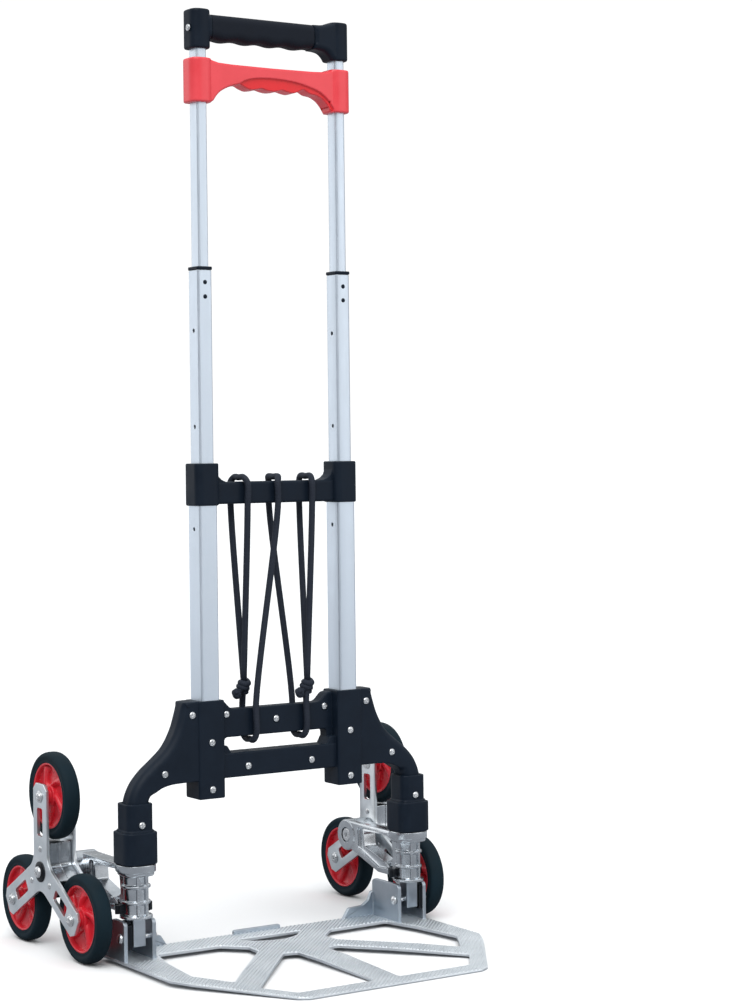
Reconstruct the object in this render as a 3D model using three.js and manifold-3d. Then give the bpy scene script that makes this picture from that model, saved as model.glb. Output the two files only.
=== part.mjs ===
// Folding stair climbing trolley with a telescopic handle, in millimetres, +Z up.
// X runs across the trolley, +Y points to the wheels, z = 0 is the ground.
import * as THREE from 'three';
import { mergeVertices } from 'three/addons/utils/BufferGeometryUtils.js';
import Module from 'manifold-3d';

const wasm = await Module();
wasm.setup();

// ---------------------------------------------------------------- driving dimensions
const GAP = 0.3;                 // running gap between neighbouring pieces
const TUBE_X = 94;               // half distance between the two telescopic columns
const POST_X = 186;              // half distance between the two wheel posts

// telescopic tubes: width (x), depth (y), wall, bottom, top
const OUTER = { w: 23.5, d: 26.5, wall: 1.3, z0: 182, z1: 556.4 };
const MIDDLE = { w: 18.5, d: 22, wall: 1.3, z0: 478, z1: 777.7 };
const UPPER = { w: 13, d: 18.2, wall: 1.2, z0: 720, z1: 1064 };
const TUBE_CORNER_R = 2.5;
const LOCK_HOLE_R = 2.4;
const LOCK_HOLE_Z = 484;         // lock hole of the outer tubes
const MIDDLE_HOLES_Z = [709, 600];  // lock holes of the middle tubes

// bridge that clamps the tops of the outer tubes
const CLAMP = { w: 31, y0: -15.5, y1: 17, z0: 510.5, z1: 558.5, cornerR: 9 };
const CLAMP_BAR = { y0: -8, y1: 12, z0: 511.7, z1: 537 };

// top handle and release handle
const HANDLE = { w: 25.5, d: 27.5, z0: 1029, z1: 1074, cornerR: 10 };
const GRIP = { x0: -80.9, x1: 57, z0: 1040, z1: 1069, y: 13.5 };
const CORE = { z0: 1046, z1: 1063, y: 7 };
const RELEASE = { w: 28, d: 28.5, z0: 968, z1: 1018.5, cornerR: 10, barTop: 1014, barY: 11.5 };
const FINGER_PITCH = 24;
const FINGER_COUNT = 4;
const ROD_R = 2;

// base frame
const HOUSING = { w: 34, y0: -15.5, y1: 17, z0: 179, z1: 290 };
const PARTING_Y = 2;             // plane where the front and rear shells meet
const UPPER_BAR = { y0: -2, y1: 14, z0: 245, z1: 277 };
const LOWER_BAR = { y0: -10, y1: 14, z0: 200, z1: 228 };
const ARM_W = 27;
const ARM_CORNER_R = 8;
const ARM_END_Z = 155.6;
const ELBOW_Z = 182;             // the arm's section is fully rounded below this height

// wheel post, sleeve and swivelling arm
const SLEEVE = { topW: 33, topR: 10, lowW: 42, lowR: 13, z0: 114.4, step: 150, z1: 181.5 };
const POST_R = 7;
const POST_Z0 = 22.5;
const POST_Z1 = 152;
const POST_FOOT_W = 16;         // square foot of the post between the ears
const COLLAR = { w: 43, r: 17, z0: 105, z1: 114 };
const BARREL = { r: 14, z0: 54, ringR: 16.5, flangeR: 18.5 };
const WEB = { x0: 176, x1: 196, rim: 5, recess: 3 };
const BOSS_R = 19;
const BOSS_X0 = 175;
const BOSS_X1 = 207.6;

// tri-star wheel sets
const WHEEL_R = 50;
const WHEEL_W = 19.5;
const RIM_R = 37.5;
const STAR_R = 86;               // hub to wheel axle
const HUB_Y = 118;
const HUB_Z = STAR_R / 2 + WHEEL_R;
const WHEEL_X = 227;
const PLATE_T = 4;
const PLATE_HALF = 19;           // half of the star's width over its plates
const HUB_HALF = 14;             // half of a wheel hub's length
const LEG_W = 33;
const LEG_ENDS = 101;
const BLOCK_W = 25;
const HUB_DISC_R = 25;
const SLOT = { r0: 40.5, r1: 73, w: 14 };
const AXLE_R = 4;
const STAR_BOLT_R = 6;

// folding toe plate
const PIVOT_Z = 32;
const PLATE_TOP = 8;
const PLATE_FRONT_Y = -242.5;
const PLATE_REAR_Y = 50;
const PLATE_HALF_W = 207;
const LIP_Z = 2.6;               // plate thickness at its front edge
const TAPER_Y = -118;            // the plate tapers from here to the front edge
const EAR = { in0: 165, in1: 170, out0: 201, out1: 206, y0: -8, y1: 47, z1: 51.5 };
const PIN_R = 3;

// elastic cord
const CORD_R = 3.7;
const CORD_SIDES = 8;
const CORD_STEPS = 2;             // sections between two stated points of the route

// ---------------------------------------------------------------- colours
const PLASTIC = { color: 0x15181c, roughness: 0.5, metalness: 0.0 };
const SOFT = { color: 0x101214, roughness: 0.75, metalness: 0.0 };
const RED = { color: 0xd81f2a, roughness: 0.4, metalness: 0.0 };
const ALUMINIUM = { color: 0xc9ccd0, roughness: 0.35, metalness: 0.9 };
const STEEL = { color: 0xb4b8bd, roughness: 0.3, metalness: 0.95 };
const TYRE = { color: 0x1c1f22, roughness: 0.85, metalness: 0.0 };
const CORD = { color: 0x0e0f11, roughness: 0.9, metalness: 0.0 };

// ---------------------------------------------------------------- solid helpers
function solid(geometry) {
  const bare = geometry.clone();
  bare.deleteAttribute('normal');
  bare.deleteAttribute('uv');
  const welded = mergeVertices(bare, 1e-4);
  return new wasm.Manifold(new wasm.Mesh({
    numProp: 3,
    vertProperties: Float32Array.from(welded.attributes.position.array),
    triVerts: Uint32Array.from(welded.index.array),
  }));
}

function geometryOf(manifold) {
  const mesh = manifold.getMesh();
  const geometry = new THREE.BufferGeometry();
  geometry.setAttribute('position', new THREE.BufferAttribute(Float32Array.from(mesh.vertProperties), 3));
  geometry.setIndex(new THREE.BufferAttribute(Uint32Array.from(mesh.triVerts), 1));
  geometry.computeVertexNormals();
  return geometry;
}

function union(parts) {
  return parts.reduce((sum, part) => sum.add(part));
}

function cut(body, tools) {
  return tools.reduce((rest, tool) => rest.subtract(tool), body);
}

// Rounds each corner of a closed outline; radii is one number or one per corner.
function rounded(points, radii, steps = 4) {
  const out = [];
  points.forEach((corner, i) => {
    const r = Array.isArray(radii) ? radii[i] : radii;
    const before = points[(i + points.length - 1) % points.length];
    const after = points[(i + 1) % points.length];
    const c = new THREE.Vector2(...corner);
    const u = new THREE.Vector2(...before).sub(c);
    const v = new THREE.Vector2(...after).sub(c);
    if (r <= 0) {
      out.push(corner);
      return;
    }
    const angle = Math.acos(u.dot(v) / (u.length() * v.length()));
    const back = Math.min(r / Math.tan(angle / 2), 0.49 * u.length(), 0.49 * v.length());
    const p = c.clone().add(u.setLength(back));
    const q = c.clone().add(v.setLength(back));
    for (let s = 0; s <= steps; s += 1) {
      const t = s / steps;
      const x = (1 - t) ** 2 * p.x + 2 * t * (1 - t) * c.x + t ** 2 * q.x;
      const y = (1 - t) ** 2 * p.y + 2 * t * (1 - t) * c.y + t ** 2 * q.y;
      out.push([x, y]);
    }
  });
  return out;
}

function rectangle(x0, x1, y0, y1) {
  return [[x0, y0], [x1, y0], [x1, y1], [x0, y1]];
}

// Evenly spaced points on a smooth curve through the given ones.
function curve(points, count) {
  const spline = new THREE.SplineCurve(points.map((p) => new THREE.Vector2(...p)));
  return spline.getPoints(count).map((v) => [v.x, v.y]);
}

function circle(cx, cy, r, sides) {
  const out = [];
  for (let i = 0; i < sides; i += 1) {
    const a = (2 * Math.PI * i) / sides;
    out.push([cx + r * Math.cos(a), cy + r * Math.sin(a)]);
  }
  return out;
}

// Prism of an outline. Axis z takes (x, y) points, axis y takes (x, z), axis x takes (y, z).
function prism(axis, points, from, to) {
  const shape = new THREE.Shape(points.map(([a, b]) => new THREE.Vector2(a, b)));
  const options = { depth: to - from, bevelEnabled: false, curveSegments: 1 };
  const geometry = new THREE.ExtrudeGeometry(shape, options);
  if (axis === 'z') {
    geometry.translate(0, 0, from);
  } else if (axis === 'y') {
    geometry.rotateX(Math.PI / 2);
    geometry.translate(0, to, 0);
  } else {
    geometry.applyMatrix4(new THREE.Matrix4().set(0, 0, 1, from, 1, 0, 0, 0, 0, 1, 0, 0, 0, 0, 0, 1));
  }
  return solid(geometry);
}

function box(x0, x1, y0, y1, z0, z1) {
  return prism('z', rectangle(x0, x1, y0, y1), z0, z1);
}

function roundedBar(cx, cy, w, d, r, z0, z1, steps = 3) {
  const outline = rectangle(cx - w / 2, cx + w / 2, cy - d / 2, cy + d / 2);
  return prism('z', rounded(outline, r, steps), z0, z1);
}

// Turned solid about an axis through (a, b); profile points are (radius, position along the axis).
function turned(axis, a, b, profile, sides = 24) {
  const lathe = new THREE.LatheGeometry(profile.map(([r, h]) => new THREE.Vector2(r, h)), sides);
  if (axis === 'x') {
    lathe.rotateZ(-Math.PI / 2);
    lathe.translate(0, a, b);
  } else {
    lathe.rotateX(Math.PI / 2);
    lathe.translate(a, b, 0);
  }
  return solid(lathe);
}

function rod(axis, a, b, r, from, to, sides = 20) {
  return turned(axis, a, b, [[0, from], [r, from], [r, to], [0, to]], sides);
}

const group = new THREE.Group();
group.name = 'stair_climbing_trolley';

function addPart(name, manifold, look) {
  const mesh = new THREE.Mesh(geometryOf(manifold), new THREE.MeshStandardMaterial(look));
  mesh.name = name;
  group.add(mesh);
}

// Adds a left piece (x < 0) and its mirror image on the right.
function addPair(name, manifold, look) {
  addPart(`${name}_left`, manifold, look);
  addPart(`${name}_right`, manifold.mirror([1, 0, 0]), look);
}

// ---------------------------------------------------------------- telescopic columns
function tube(spec, z0 = spec.z0, z1 = spec.z1) {
  const { w, d, wall } = spec;
  const skin = roundedBar(-TUBE_X, 0, w, d, TUBE_CORNER_R, z0, z1, 2);
  const inner = Math.max(TUBE_CORNER_R - wall, 0.6);
  return skin.subtract(roundedBar(-TUBE_X, 0, w - 2 * wall, d - 2 * wall, inner, z0 - 1, z1 + 1, 2));
}

function lockHole(spec, z) {
  const outside = -TUBE_X - spec.w / 2;
  return rod('x', 0, z, LOCK_HOLE_R, outside - 1, outside + spec.w + 1, 12);
}

function addColumns() {
  const outer = cut(tube(OUTER), [lockHole(OUTER, LOCK_HOLE_Z)]);
  const middle = cut(tube(MIDDLE), MIDDLE_HOLES_Z.map((z) => lockHole(MIDDLE, z)));
  addPair('outer_tube', outer, ALUMINIUM);
  addPair('middle_tube', middle, ALUMINIUM);
  addPair('upper_tube', tube(UPPER), ALUMINIUM);

  const ring = cut(
    roundedBar(-TUBE_X, 0, MIDDLE.w + 1.6, MIDDLE.d + 1.6, 3, MIDDLE.z1 + GAP, MIDDLE.z1 + 4, 2),
    [roundedBar(-TUBE_X, 0, UPPER.w + 0.8, UPPER.d + 0.8, 2.5, MIDDLE.z1 - 1, MIDDLE.z1 + 5, 2)],
  );
  addPair('stage_ring', ring, PLASTIC);

  // Guide blocks sit below each inner tube and run inside the next tube down.
  const guide = (outside, z1, height) => {
    const w = outside.w - 2 * outside.wall - 0.8;
    const d = outside.d - 2 * outside.wall - 0.8;
    const block = roundedBar(-TUBE_X, 0, w, d, 1.5, z1 - GAP - height, z1 - GAP, 2);
    return block.subtract(rod('z', -TUBE_X, 0, ROD_R + 1.2, z1 - height - 2, z1 + 1, 12));
  };
  addPair('upper_guide', guide(MIDDLE, UPPER.z0, 16), PLASTIC);
  addPair('middle_guide', guide(OUTER, MIDDLE.z0, 16), PLASTIC);
}

function addClamp() {
  const side = (s) => {
    const yMid = (CLAMP.y0 + CLAMP.y1) / 2;
    return roundedBar(s * TUBE_X, yMid, CLAMP.w, CLAMP.y1 - CLAMP.y0, CLAMP.cornerR, CLAMP.z0, CLAMP.z1, 4);
  };
  const inner = TUBE_X - CLAMP.w / 2 + 4;
  const bar = box(-inner, inner, CLAMP_BAR.y0, CLAMP_BAR.y1, CLAMP_BAR.z0, CLAMP_BAR.z1);
  const openings = [-1, 1].flatMap((s) => [
    roundedBar(
      s * TUBE_X, 0, OUTER.w + 2 * GAP, OUTER.d + 2 * GAP, TUBE_CORNER_R, CLAMP.z0 - 1, OUTER.z1 + GAP, 2,
    ),
    roundedBar(
      s * TUBE_X, 0, MIDDLE.w + 2 * GAP, MIDDLE.d + 2 * GAP, TUBE_CORNER_R, CLAMP.z0 - 1, CLAMP.z1 + 1, 2,
    ),
  ]);
  addPart('bridge_clamp', cut(union([side(-1), side(1), bar]), openings), PLASTIC);
}

// ---------------------------------------------------------------- handles
// Lower edge of a grip with finger waves, from right to left.
function fingerEdge(xMid, zLow, rise) {
  const out = [];
  const half = (FINGER_COUNT * FINGER_PITCH) / 2;
  const steps = FINGER_COUNT * 6;
  for (let i = 0; i <= steps; i += 1) {
    const x = half - (2 * half * i) / steps;
    const wave = Math.abs(Math.cos((Math.PI * (x + half)) / FINGER_PITCH));
    out.push([xMid + x, zLow + rise * wave ** 1.6]);
  }
  return out;
}

function addHandles() {
  const socket = (s) => roundedBar(
    s * TUBE_X, 0, HANDLE.w, HANDLE.d, HANDLE.cornerR, HANDLE.z0, HANDLE.z1, 4,
  );
  const core = box(-TUBE_X, TUBE_X, -CORE.y, CORE.y, CORE.z0, CORE.z1);
  const arch = prism('y', rounded(
    [[GRIP.x1 + GAP, GRIP.z1], [GRIP.x1 + GAP, GRIP.z0 - 0.5], [70, 1039], [80, HANDLE.z0], [90, HANDLE.z0],
      [90, HANDLE.z1 - 0.5], [80, HANDLE.z1 - 2]],
    [0, 0, 8, 0, 0, 0, 6],
  ), -GRIP.y, GRIP.y);
  const pockets = [-1, 1].map((s) => roundedBar(
    s * TUBE_X, 0, UPPER.w + 2 * GAP, UPPER.d + 2 * GAP, TUBE_CORNER_R, HANDLE.z0 - 1, UPPER.z1 + GAP, 2,
  ));
  addPart('top_handle', cut(union([socket(-1), socket(1), core, arch]), pockets), PLASTIC);

  const gripMid = (GRIP.x0 + GRIP.x1) / 2;
  const gripEdge = fingerEdge(gripMid, GRIP.z0 - 1.5, 2.5);
  const gripOutline = [[GRIP.x0, GRIP.z1], [GRIP.x0, GRIP.z0 + 1], ...gripEdge.reverse(),
    [GRIP.x1, GRIP.z0 + 1], [GRIP.x1, GRIP.z1]];
  const gripSkin = prism('y', gripOutline, -GRIP.y, GRIP.y);
  const section = rounded(rectangle(-GRIP.y, GRIP.y, GRIP.z0 - 2, GRIP.z1), 10, 4);
  const grip = gripSkin.intersect(prism('x', section, GRIP.x0 - 1, GRIP.x1 + 1));
  const bore = box(GRIP.x0 - 1, GRIP.x1 + 1, -CORE.y - GAP, CORE.y + GAP, CORE.z0 - GAP, CORE.z1 + GAP);
  addPart('top_grip', grip.subtract(bore), SOFT);

  const sleeve = (s) => roundedBar(
    s * TUBE_X, 0, RELEASE.w, RELEASE.d, RELEASE.cornerR, RELEASE.z0, RELEASE.z1, 4,
  );
  const barEdge = fingerEdge(0, RELEASE.barTop - 27, 4);
  const barOutline = [[80, RELEASE.z0 + 1], [72, RELEASE.z0 + 12], [60, RELEASE.z0 + 20], ...barEdge,
    [-60, RELEASE.z0 + 20], [-72, RELEASE.z0 + 12], [-80, RELEASE.z0 + 1],
    [-86, RELEASE.z0 + 1], [-86, RELEASE.barTop], [86, RELEASE.barTop], [86, RELEASE.z0 + 1]];
  const bar = prism('y', barOutline, -RELEASE.barY, RELEASE.barY);
  const slides = [-1, 1].map((s) => roundedBar(
    s * TUBE_X, 0, UPPER.w + 2 * GAP, UPPER.d + 2 * GAP, TUBE_CORNER_R, RELEASE.z0 - 1, RELEASE.z1 + 1, 2,
  ));
  addPart('release_handle', cut(union([sleeve(-1), sleeve(1), bar]), slides), RED);
  addPair('release_rod', rod('z', -TUBE_X, 0, ROD_R, UPPER.z0 - 12, RELEASE.z1 - 8, 10), STEEL);
}

// ---------------------------------------------------------------- base frame
// Outline of the right wing and elbow in (x, z), from the housing out to the post.
function wingOutline() {
  const half = ARM_W / 2;
  const outer = curve([
    [128, 289], [132, 275], [138, 258], [149, 240], [163, 227.5], [178, 215.5], [190, 202], [197, 187],
    [POST_X + half, 171],
  ], 12);
  const inner = curve([
    [POST_X - half, ELBOW_Z], [170.5, 187], [165.5, 192], [157.5, 196.3], [146, 199], [130, 199.8],
  ], 8);
  return [
    [80, 290], [126, 290], ...outer, [POST_X + half, ARM_END_Z],
    [POST_X - half, ARM_END_Z], ...inner, [80, 199.8],
  ];
}

function mirrored(points, s) {
  return s > 0 ? points : points.map(([x, z]) => [-x, z]).reverse();
}

function addBase() {
  const wing = (s) => {
    const thick = prism('y', mirrored(wingOutline(), s), -ARM_W / 2, ARM_W / 2);
    const elbowOnly = box(s > 0 ? 170 : -230, s > 0 ? 230 : -170, -50, 50, 150, ELBOW_Z);
    const round = roundedBar(s * POST_X, 0, ARM_W, ARM_W, ARM_CORNER_R, 150, ELBOW_Z, 3);
    return thick.subtract(elbowOnly.subtract(round));
  };
  const housing = (s) => {
    const c = 3;
    const x0 = s * TUBE_X - HOUSING.w / 2;
    const x1 = s * TUBE_X + HOUSING.w / 2;
    const section = [[x0 + c, HOUSING.y0], [x1 - c, HOUSING.y0], [x1, HOUSING.y0 + c], [x1, HOUSING.y1 - c],
      [x1 - c, HOUSING.y1], [x0 + c, HOUSING.y1], [x0, HOUSING.y1 - c], [x0, HOUSING.y0 + c]];
    return prism('z', section, HOUSING.z0, HOUSING.z1);
  };
  const inner = TUBE_X - HOUSING.w / 2 + 2;
  const upperBar = prism('y', rounded(
    [[-inner, UPPER_BAR.z0], [inner, UPPER_BAR.z0], [inner, 289], [70, 287], [60, UPPER_BAR.z1],
      [-60, UPPER_BAR.z1], [-70, 287], [-inner, 289]],
    [0, 0, 0, 6, 12, 12, 6, 0],
  ), UPPER_BAR.y0, UPPER_BAR.y1);
  const lowerSide = rectangle(-inner, inner, LOWER_BAR.z0, LOWER_BAR.z1);
  const lowerBar = prism('y', lowerSide, LOWER_BAR.y0, LOWER_BAR.y1);
  const slotEnd = (s) => {
    const outline = [[79, 226], [79, 247], [71, 247], [69.5, 240], [69.5, 233], [64, 226]]
      .map(([x, z]) => [s * x, z]);
    return prism('y', s > 0 ? outline : outline.reverse(), LOWER_BAR.y0, LOWER_BAR.y1);
  };
  const whole = union([
    wing(-1), wing(1), housing(-1), housing(1), upperBar, lowerBar, slotEnd(-1), slotEnd(1),
  ]);
  const pockets = [-1, 1].map((s) => roundedBar(
    s * TUBE_X, 0, OUTER.w + 2 * GAP, OUTER.d + 2 * GAP, TUBE_CORNER_R, OUTER.z0 - GAP, HOUSING.z1 + 1, 2,
  ));
  const hollowed = cut(whole, pockets);
  const halfGap = GAP / 2;
  const front = box(-260, 260, -60, PARTING_Y - halfGap, 100, 320);
  const rear = box(-260, 260, PARTING_Y + halfGap, 60, 100, 320);
  addPart('base_shell_front', hollowed.intersect(front), PLASTIC);
  addPart('base_shell_rear', hollowed.intersect(rear), PLASTIC);
}

function addPosts() {
  const low = roundedBar(-POST_X, 0, SLEEVE.lowW, SLEEVE.lowW, SLEEVE.lowR, SLEEVE.z0, SLEEVE.step, 4);
  const high = roundedBar(-POST_X, 0, SLEEVE.topW, SLEEVE.topW, SLEEVE.topR, SLEEVE.step - 1, SLEEVE.z1, 4);
  const socket = roundedBar(
    -POST_X, 0, ARM_W + 2 * GAP, ARM_W + 2 * GAP, ARM_CORNER_R, ARM_END_Z - GAP, SLEEVE.z1 + 1, 3,
  );
  const bore = rod('z', -POST_X, 0, POST_R + GAP, SLEEVE.z0 - 1, ARM_END_Z, 16);
  addPair('sleeve', cut(low.add(high), [socket, bore]), PLASTIC);

  const foot = roundedBar(-POST_X, 0, POST_FOOT_W, POST_FOOT_W, 2, POST_Z0, BARREL.z0 - 2 * GAP, 2);
  const post = rod('z', -POST_X, 0, POST_R, POST_Z0 + 1, POST_Z1, 16).add(foot);
  const pinHole = rod('x', 0, PIVOT_Z, PIN_R + GAP, -POST_X - 10, -POST_X + 10, 16);
  addPair('post', post.subtract(pinHole), STEEL);
}

// ---------------------------------------------------------------- wheel arms
function addArms() {
  const { r, z0, ringR, flangeR } = BARREL;
  const barrel = turned('z', -POST_X, 0, [[0, z0], [flangeR, z0], [flangeR, z0 + 3], [r, z0 + 4], [r, 69.5],
    [ringR, 70.5], [ringR, 73], [r, 74], [r, 87], [ringR, 88], [ringR, 90.5], [r, 91.5],
    [r, COLLAR.z0 + 2], [0, COLLAR.z0 + 2]], 16);
  const collar = roundedBar(-POST_X, 0, COLLAR.w, COLLAR.w, COLLAR.r, COLLAR.z0, COLLAR.z1, 3);
  const chamfer = roundedBar(
    -POST_X, 0, COLLAR.w - 8, COLLAR.w - 8, COLLAR.r - 2, COLLAR.z0 - 4.5, COLLAR.z0 + 1, 3,
  );
  const rib = box(-POST_X - 2, -POST_X + 2, -r - 1.6, -r + 4, z0 + 3, COLLAR.z0);

  // Web between the barrel and the boss, with a window and raised rims.
  const web = rounded(
    [[6, 110], [6, 60], [20, 57], [50, 57], [104, 75], [HUB_Y, 80], [HUB_Y, 110.8]],
    [0, 0, 4, 6, 0, 0, 0],
  );
  const windowOutline = rounded(
    [[80, 84], [82, 102], [34, 104], [20, 99], [17, 78], [36, 71]],
    [3, 3, 4, 4, 3, 3], 2,
  );
  const plate = prism('x', web, -WEB.x1, -WEB.x0);
  const pocketOutline = rounded([[92, 80], [94, 106], [23, 106], [20, 64], [50, 63]], 4, 2);
  const pocketIn = prism('x', pocketOutline, -WEB.x0 - WEB.recess, -WEB.x0 + 5);
  const pocketOut = prism('x', pocketOutline, -WEB.x1 - 5, -WEB.x1 + WEB.recess);
  const through = prism('x', windowOutline, -WEB.x1 - 5, -WEB.x0 + 5);
  const frame = plate.subtract(pocketIn).subtract(pocketOut);
  const boss = rod('x', HUB_Y, HUB_Z, BOSS_R, -BOSS_X1, -BOSS_X0, 28);
  const body = union([barrel, collar, chamfer, rib, frame.subtract(through), boss]);

  // Toothed sector around the rear of the barrel, which the toe plate turns.
  const ring = rod('z', -POST_X, 0, 20, 58.8, 68.8, 16);
  const teeth = [ring];
  for (let i = 0; i < 7; i += 1) {
    const tooth = box(12, 24, -1.9, 1.9, 58.8, 68.8);
    teeth.push(tooth.rotate([0, 0, 15 + 25 * i]).translate([-POST_X, 0, 0]));
  }
  const sector = union(teeth).intersect(box(-POST_X - 30, -POST_X + 30, 1, 40, 50, 80));
  const bores = [
    rod('z', -POST_X, 0, POST_R + GAP, z0 - 1, COLLAR.z1 + 1, 16),
    rod('x', HUB_Y, HUB_Z, STAR_BOLT_R + GAP, -BOSS_X1 - 1, -BOSS_X0 + 1, 16),
    rod('x', HUB_Y, HUB_Z, 9, -BOSS_X0 - 4.5, -BOSS_X0 + 1, 16),
  ];
  addPair('wheel_arm', cut(body.add(sector), bores), ALUMINIUM);

  const bolt = turned('x', HUB_Y, HUB_Z, [
    [0, -WHEEL_X - PLATE_HALF - 5.8], [6.5, -WHEEL_X - PLATE_HALF - 5.8], [6.5, -WHEEL_X - PLATE_HALF - 2.6],
    [11.5, -WHEEL_X - PLATE_HALF - 2.3], [11.5, -WHEEL_X - PLATE_HALF - GAP],
    [STAR_BOLT_R, -WHEEL_X - PLATE_HALF - GAP],
    [STAR_BOLT_R, -BOSS_X0 - 4.2], [8, -BOSS_X0 - 4.2], [8, -BOSS_X0 - 0.5], [0, -BOSS_X0 - 0.5],
  ], 16);
  addPair('star_bolt', bolt, STEEL);
}

// ---------------------------------------------------------------- tri-star wheel sets
const LEG_ANGLES = [90, -30, 210];   // in the (y, z) plane: top, rear, front
const LEG_NAMES = ['top', 'rear', 'front'];

function legPoint(angleDeg, radius, side = 0) {
  const a = (angleDeg * Math.PI) / 180;
  return [
    HUB_Y + radius * Math.cos(a) - side * Math.sin(a),
    HUB_Z + radius * Math.sin(a) + side * Math.cos(a),
  ];
}

function legOutline(angle, length, width, chamfer) {
  const h = width / 2;
  const corners = [
    [0, -h], [length - chamfer, -h], [length, -h + chamfer],
    [length, h - chamfer], [length - chamfer, h], [0, h],
  ];
  return corners.map(([r, s]) => legPoint(angle, r, s));
}

function starShape(length, width, chamfer, discR, x0, x1) {
  const legs = LEG_ANGLES.map((angle) => prism('x', legOutline(angle, length, width, chamfer), x0, x1));
  return union([...legs, rod('x', HUB_Y, HUB_Z, discR, x0, x1, 18)]);
}

function addStars() {
  const holes = [rod('x', HUB_Y, HUB_Z, STAR_BOLT_R + GAP, -300, -150, 16)];
  LEG_ANGLES.forEach((angle) => {
    holes.push(rod('x', ...legPoint(angle, STAR_R), AXLE_R + GAP, -300, -150, 10));
    const w = SLOT.w / 2;
    const slot = rounded([[SLOT.r0, -w], [SLOT.r1, -w], [SLOT.r1, w], [SLOT.r0, w]], w * 0.8, 1);
    holes.push(prism('x', slot.map(([r, s]) => legPoint(angle, r, s)), -300, -150));
  });
  const outerX = -WHEEL_X - PLATE_HALF;
  const innerX = -WHEEL_X + PLATE_HALF;
  const plate = (x0, x1) => cut(starShape(LEG_ENDS, LEG_W, 7, HUB_DISC_R, x0, x1), holes);
  addPair('star_plate_outer', plate(outerX, outerX + PLATE_T), ALUMINIUM);
  addPair('star_plate_inner', plate(innerX - PLATE_T, innerX), ALUMINIUM);

  const blockLength = STAR_R - WHEEL_R - 1.5;
  const block = starShape(
    blockLength, BLOCK_W, 1, HUB_DISC_R - 3, outerX + PLATE_T + GAP, innerX - PLATE_T - GAP,
  );
  addPair('star_block', block.subtract(holes[0]), ALUMINIUM);

  LEG_ANGLES.forEach((angle, i) => {
    const [y, z] = legPoint(angle, STAR_R);
    const half = WHEEL_W / 2;
    const tyre = turned('x', y, z, [
      [RIM_R + GAP, -WHEEL_X - half + 0.8], [44, -WHEEL_X - half], [48.3, -WHEEL_X - half + 2.6],
      [WHEEL_R, -WHEEL_X - 4], [WHEEL_R, -WHEEL_X + 4], [48.3, -WHEEL_X + half - 2.6],
      [44, -WHEEL_X + half], [RIM_R + GAP, -WHEEL_X + half - 0.8], [RIM_R + GAP, -WHEEL_X - half + 0.8],
    ], 24);
    const rim = turned('x', y, z, [
      [AXLE_R + GAP, -WHEEL_X - HUB_HALF], [9, -WHEEL_X - HUB_HALF],
      [11, -WHEEL_X - 4.5], [33, -WHEEL_X - 4.5],
      [RIM_R, -WHEEL_X - 8.4], [RIM_R, -WHEEL_X + 8.4], [33, -WHEEL_X + 4.5], [11, -WHEEL_X + 4.5],
      [9, -WHEEL_X + HUB_HALF], [AXLE_R + GAP, -WHEEL_X + HUB_HALF],
      [AXLE_R + GAP, -WHEEL_X - HUB_HALF],
    ], 24);
    const bolt = turned('x', y, z, [
      [0, outerX - 3.6], [5.2, outerX - 3.4], [6.5, outerX - GAP], [AXLE_R, outerX - GAP],
      [AXLE_R, innerX + GAP], [6.5, innerX + GAP], [6.5, innerX + 2.6], [0, innerX + 2.6],
    ], 12);
    addPair(`tyre_${LEG_NAMES[i]}`, tyre, TYRE);
    addPair(`rim_${LEG_NAMES[i]}`, rim, RED);
    addPair(`wheel_bolt_${LEG_NAMES[i]}`, bolt, STEEL);
  });
}

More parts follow.
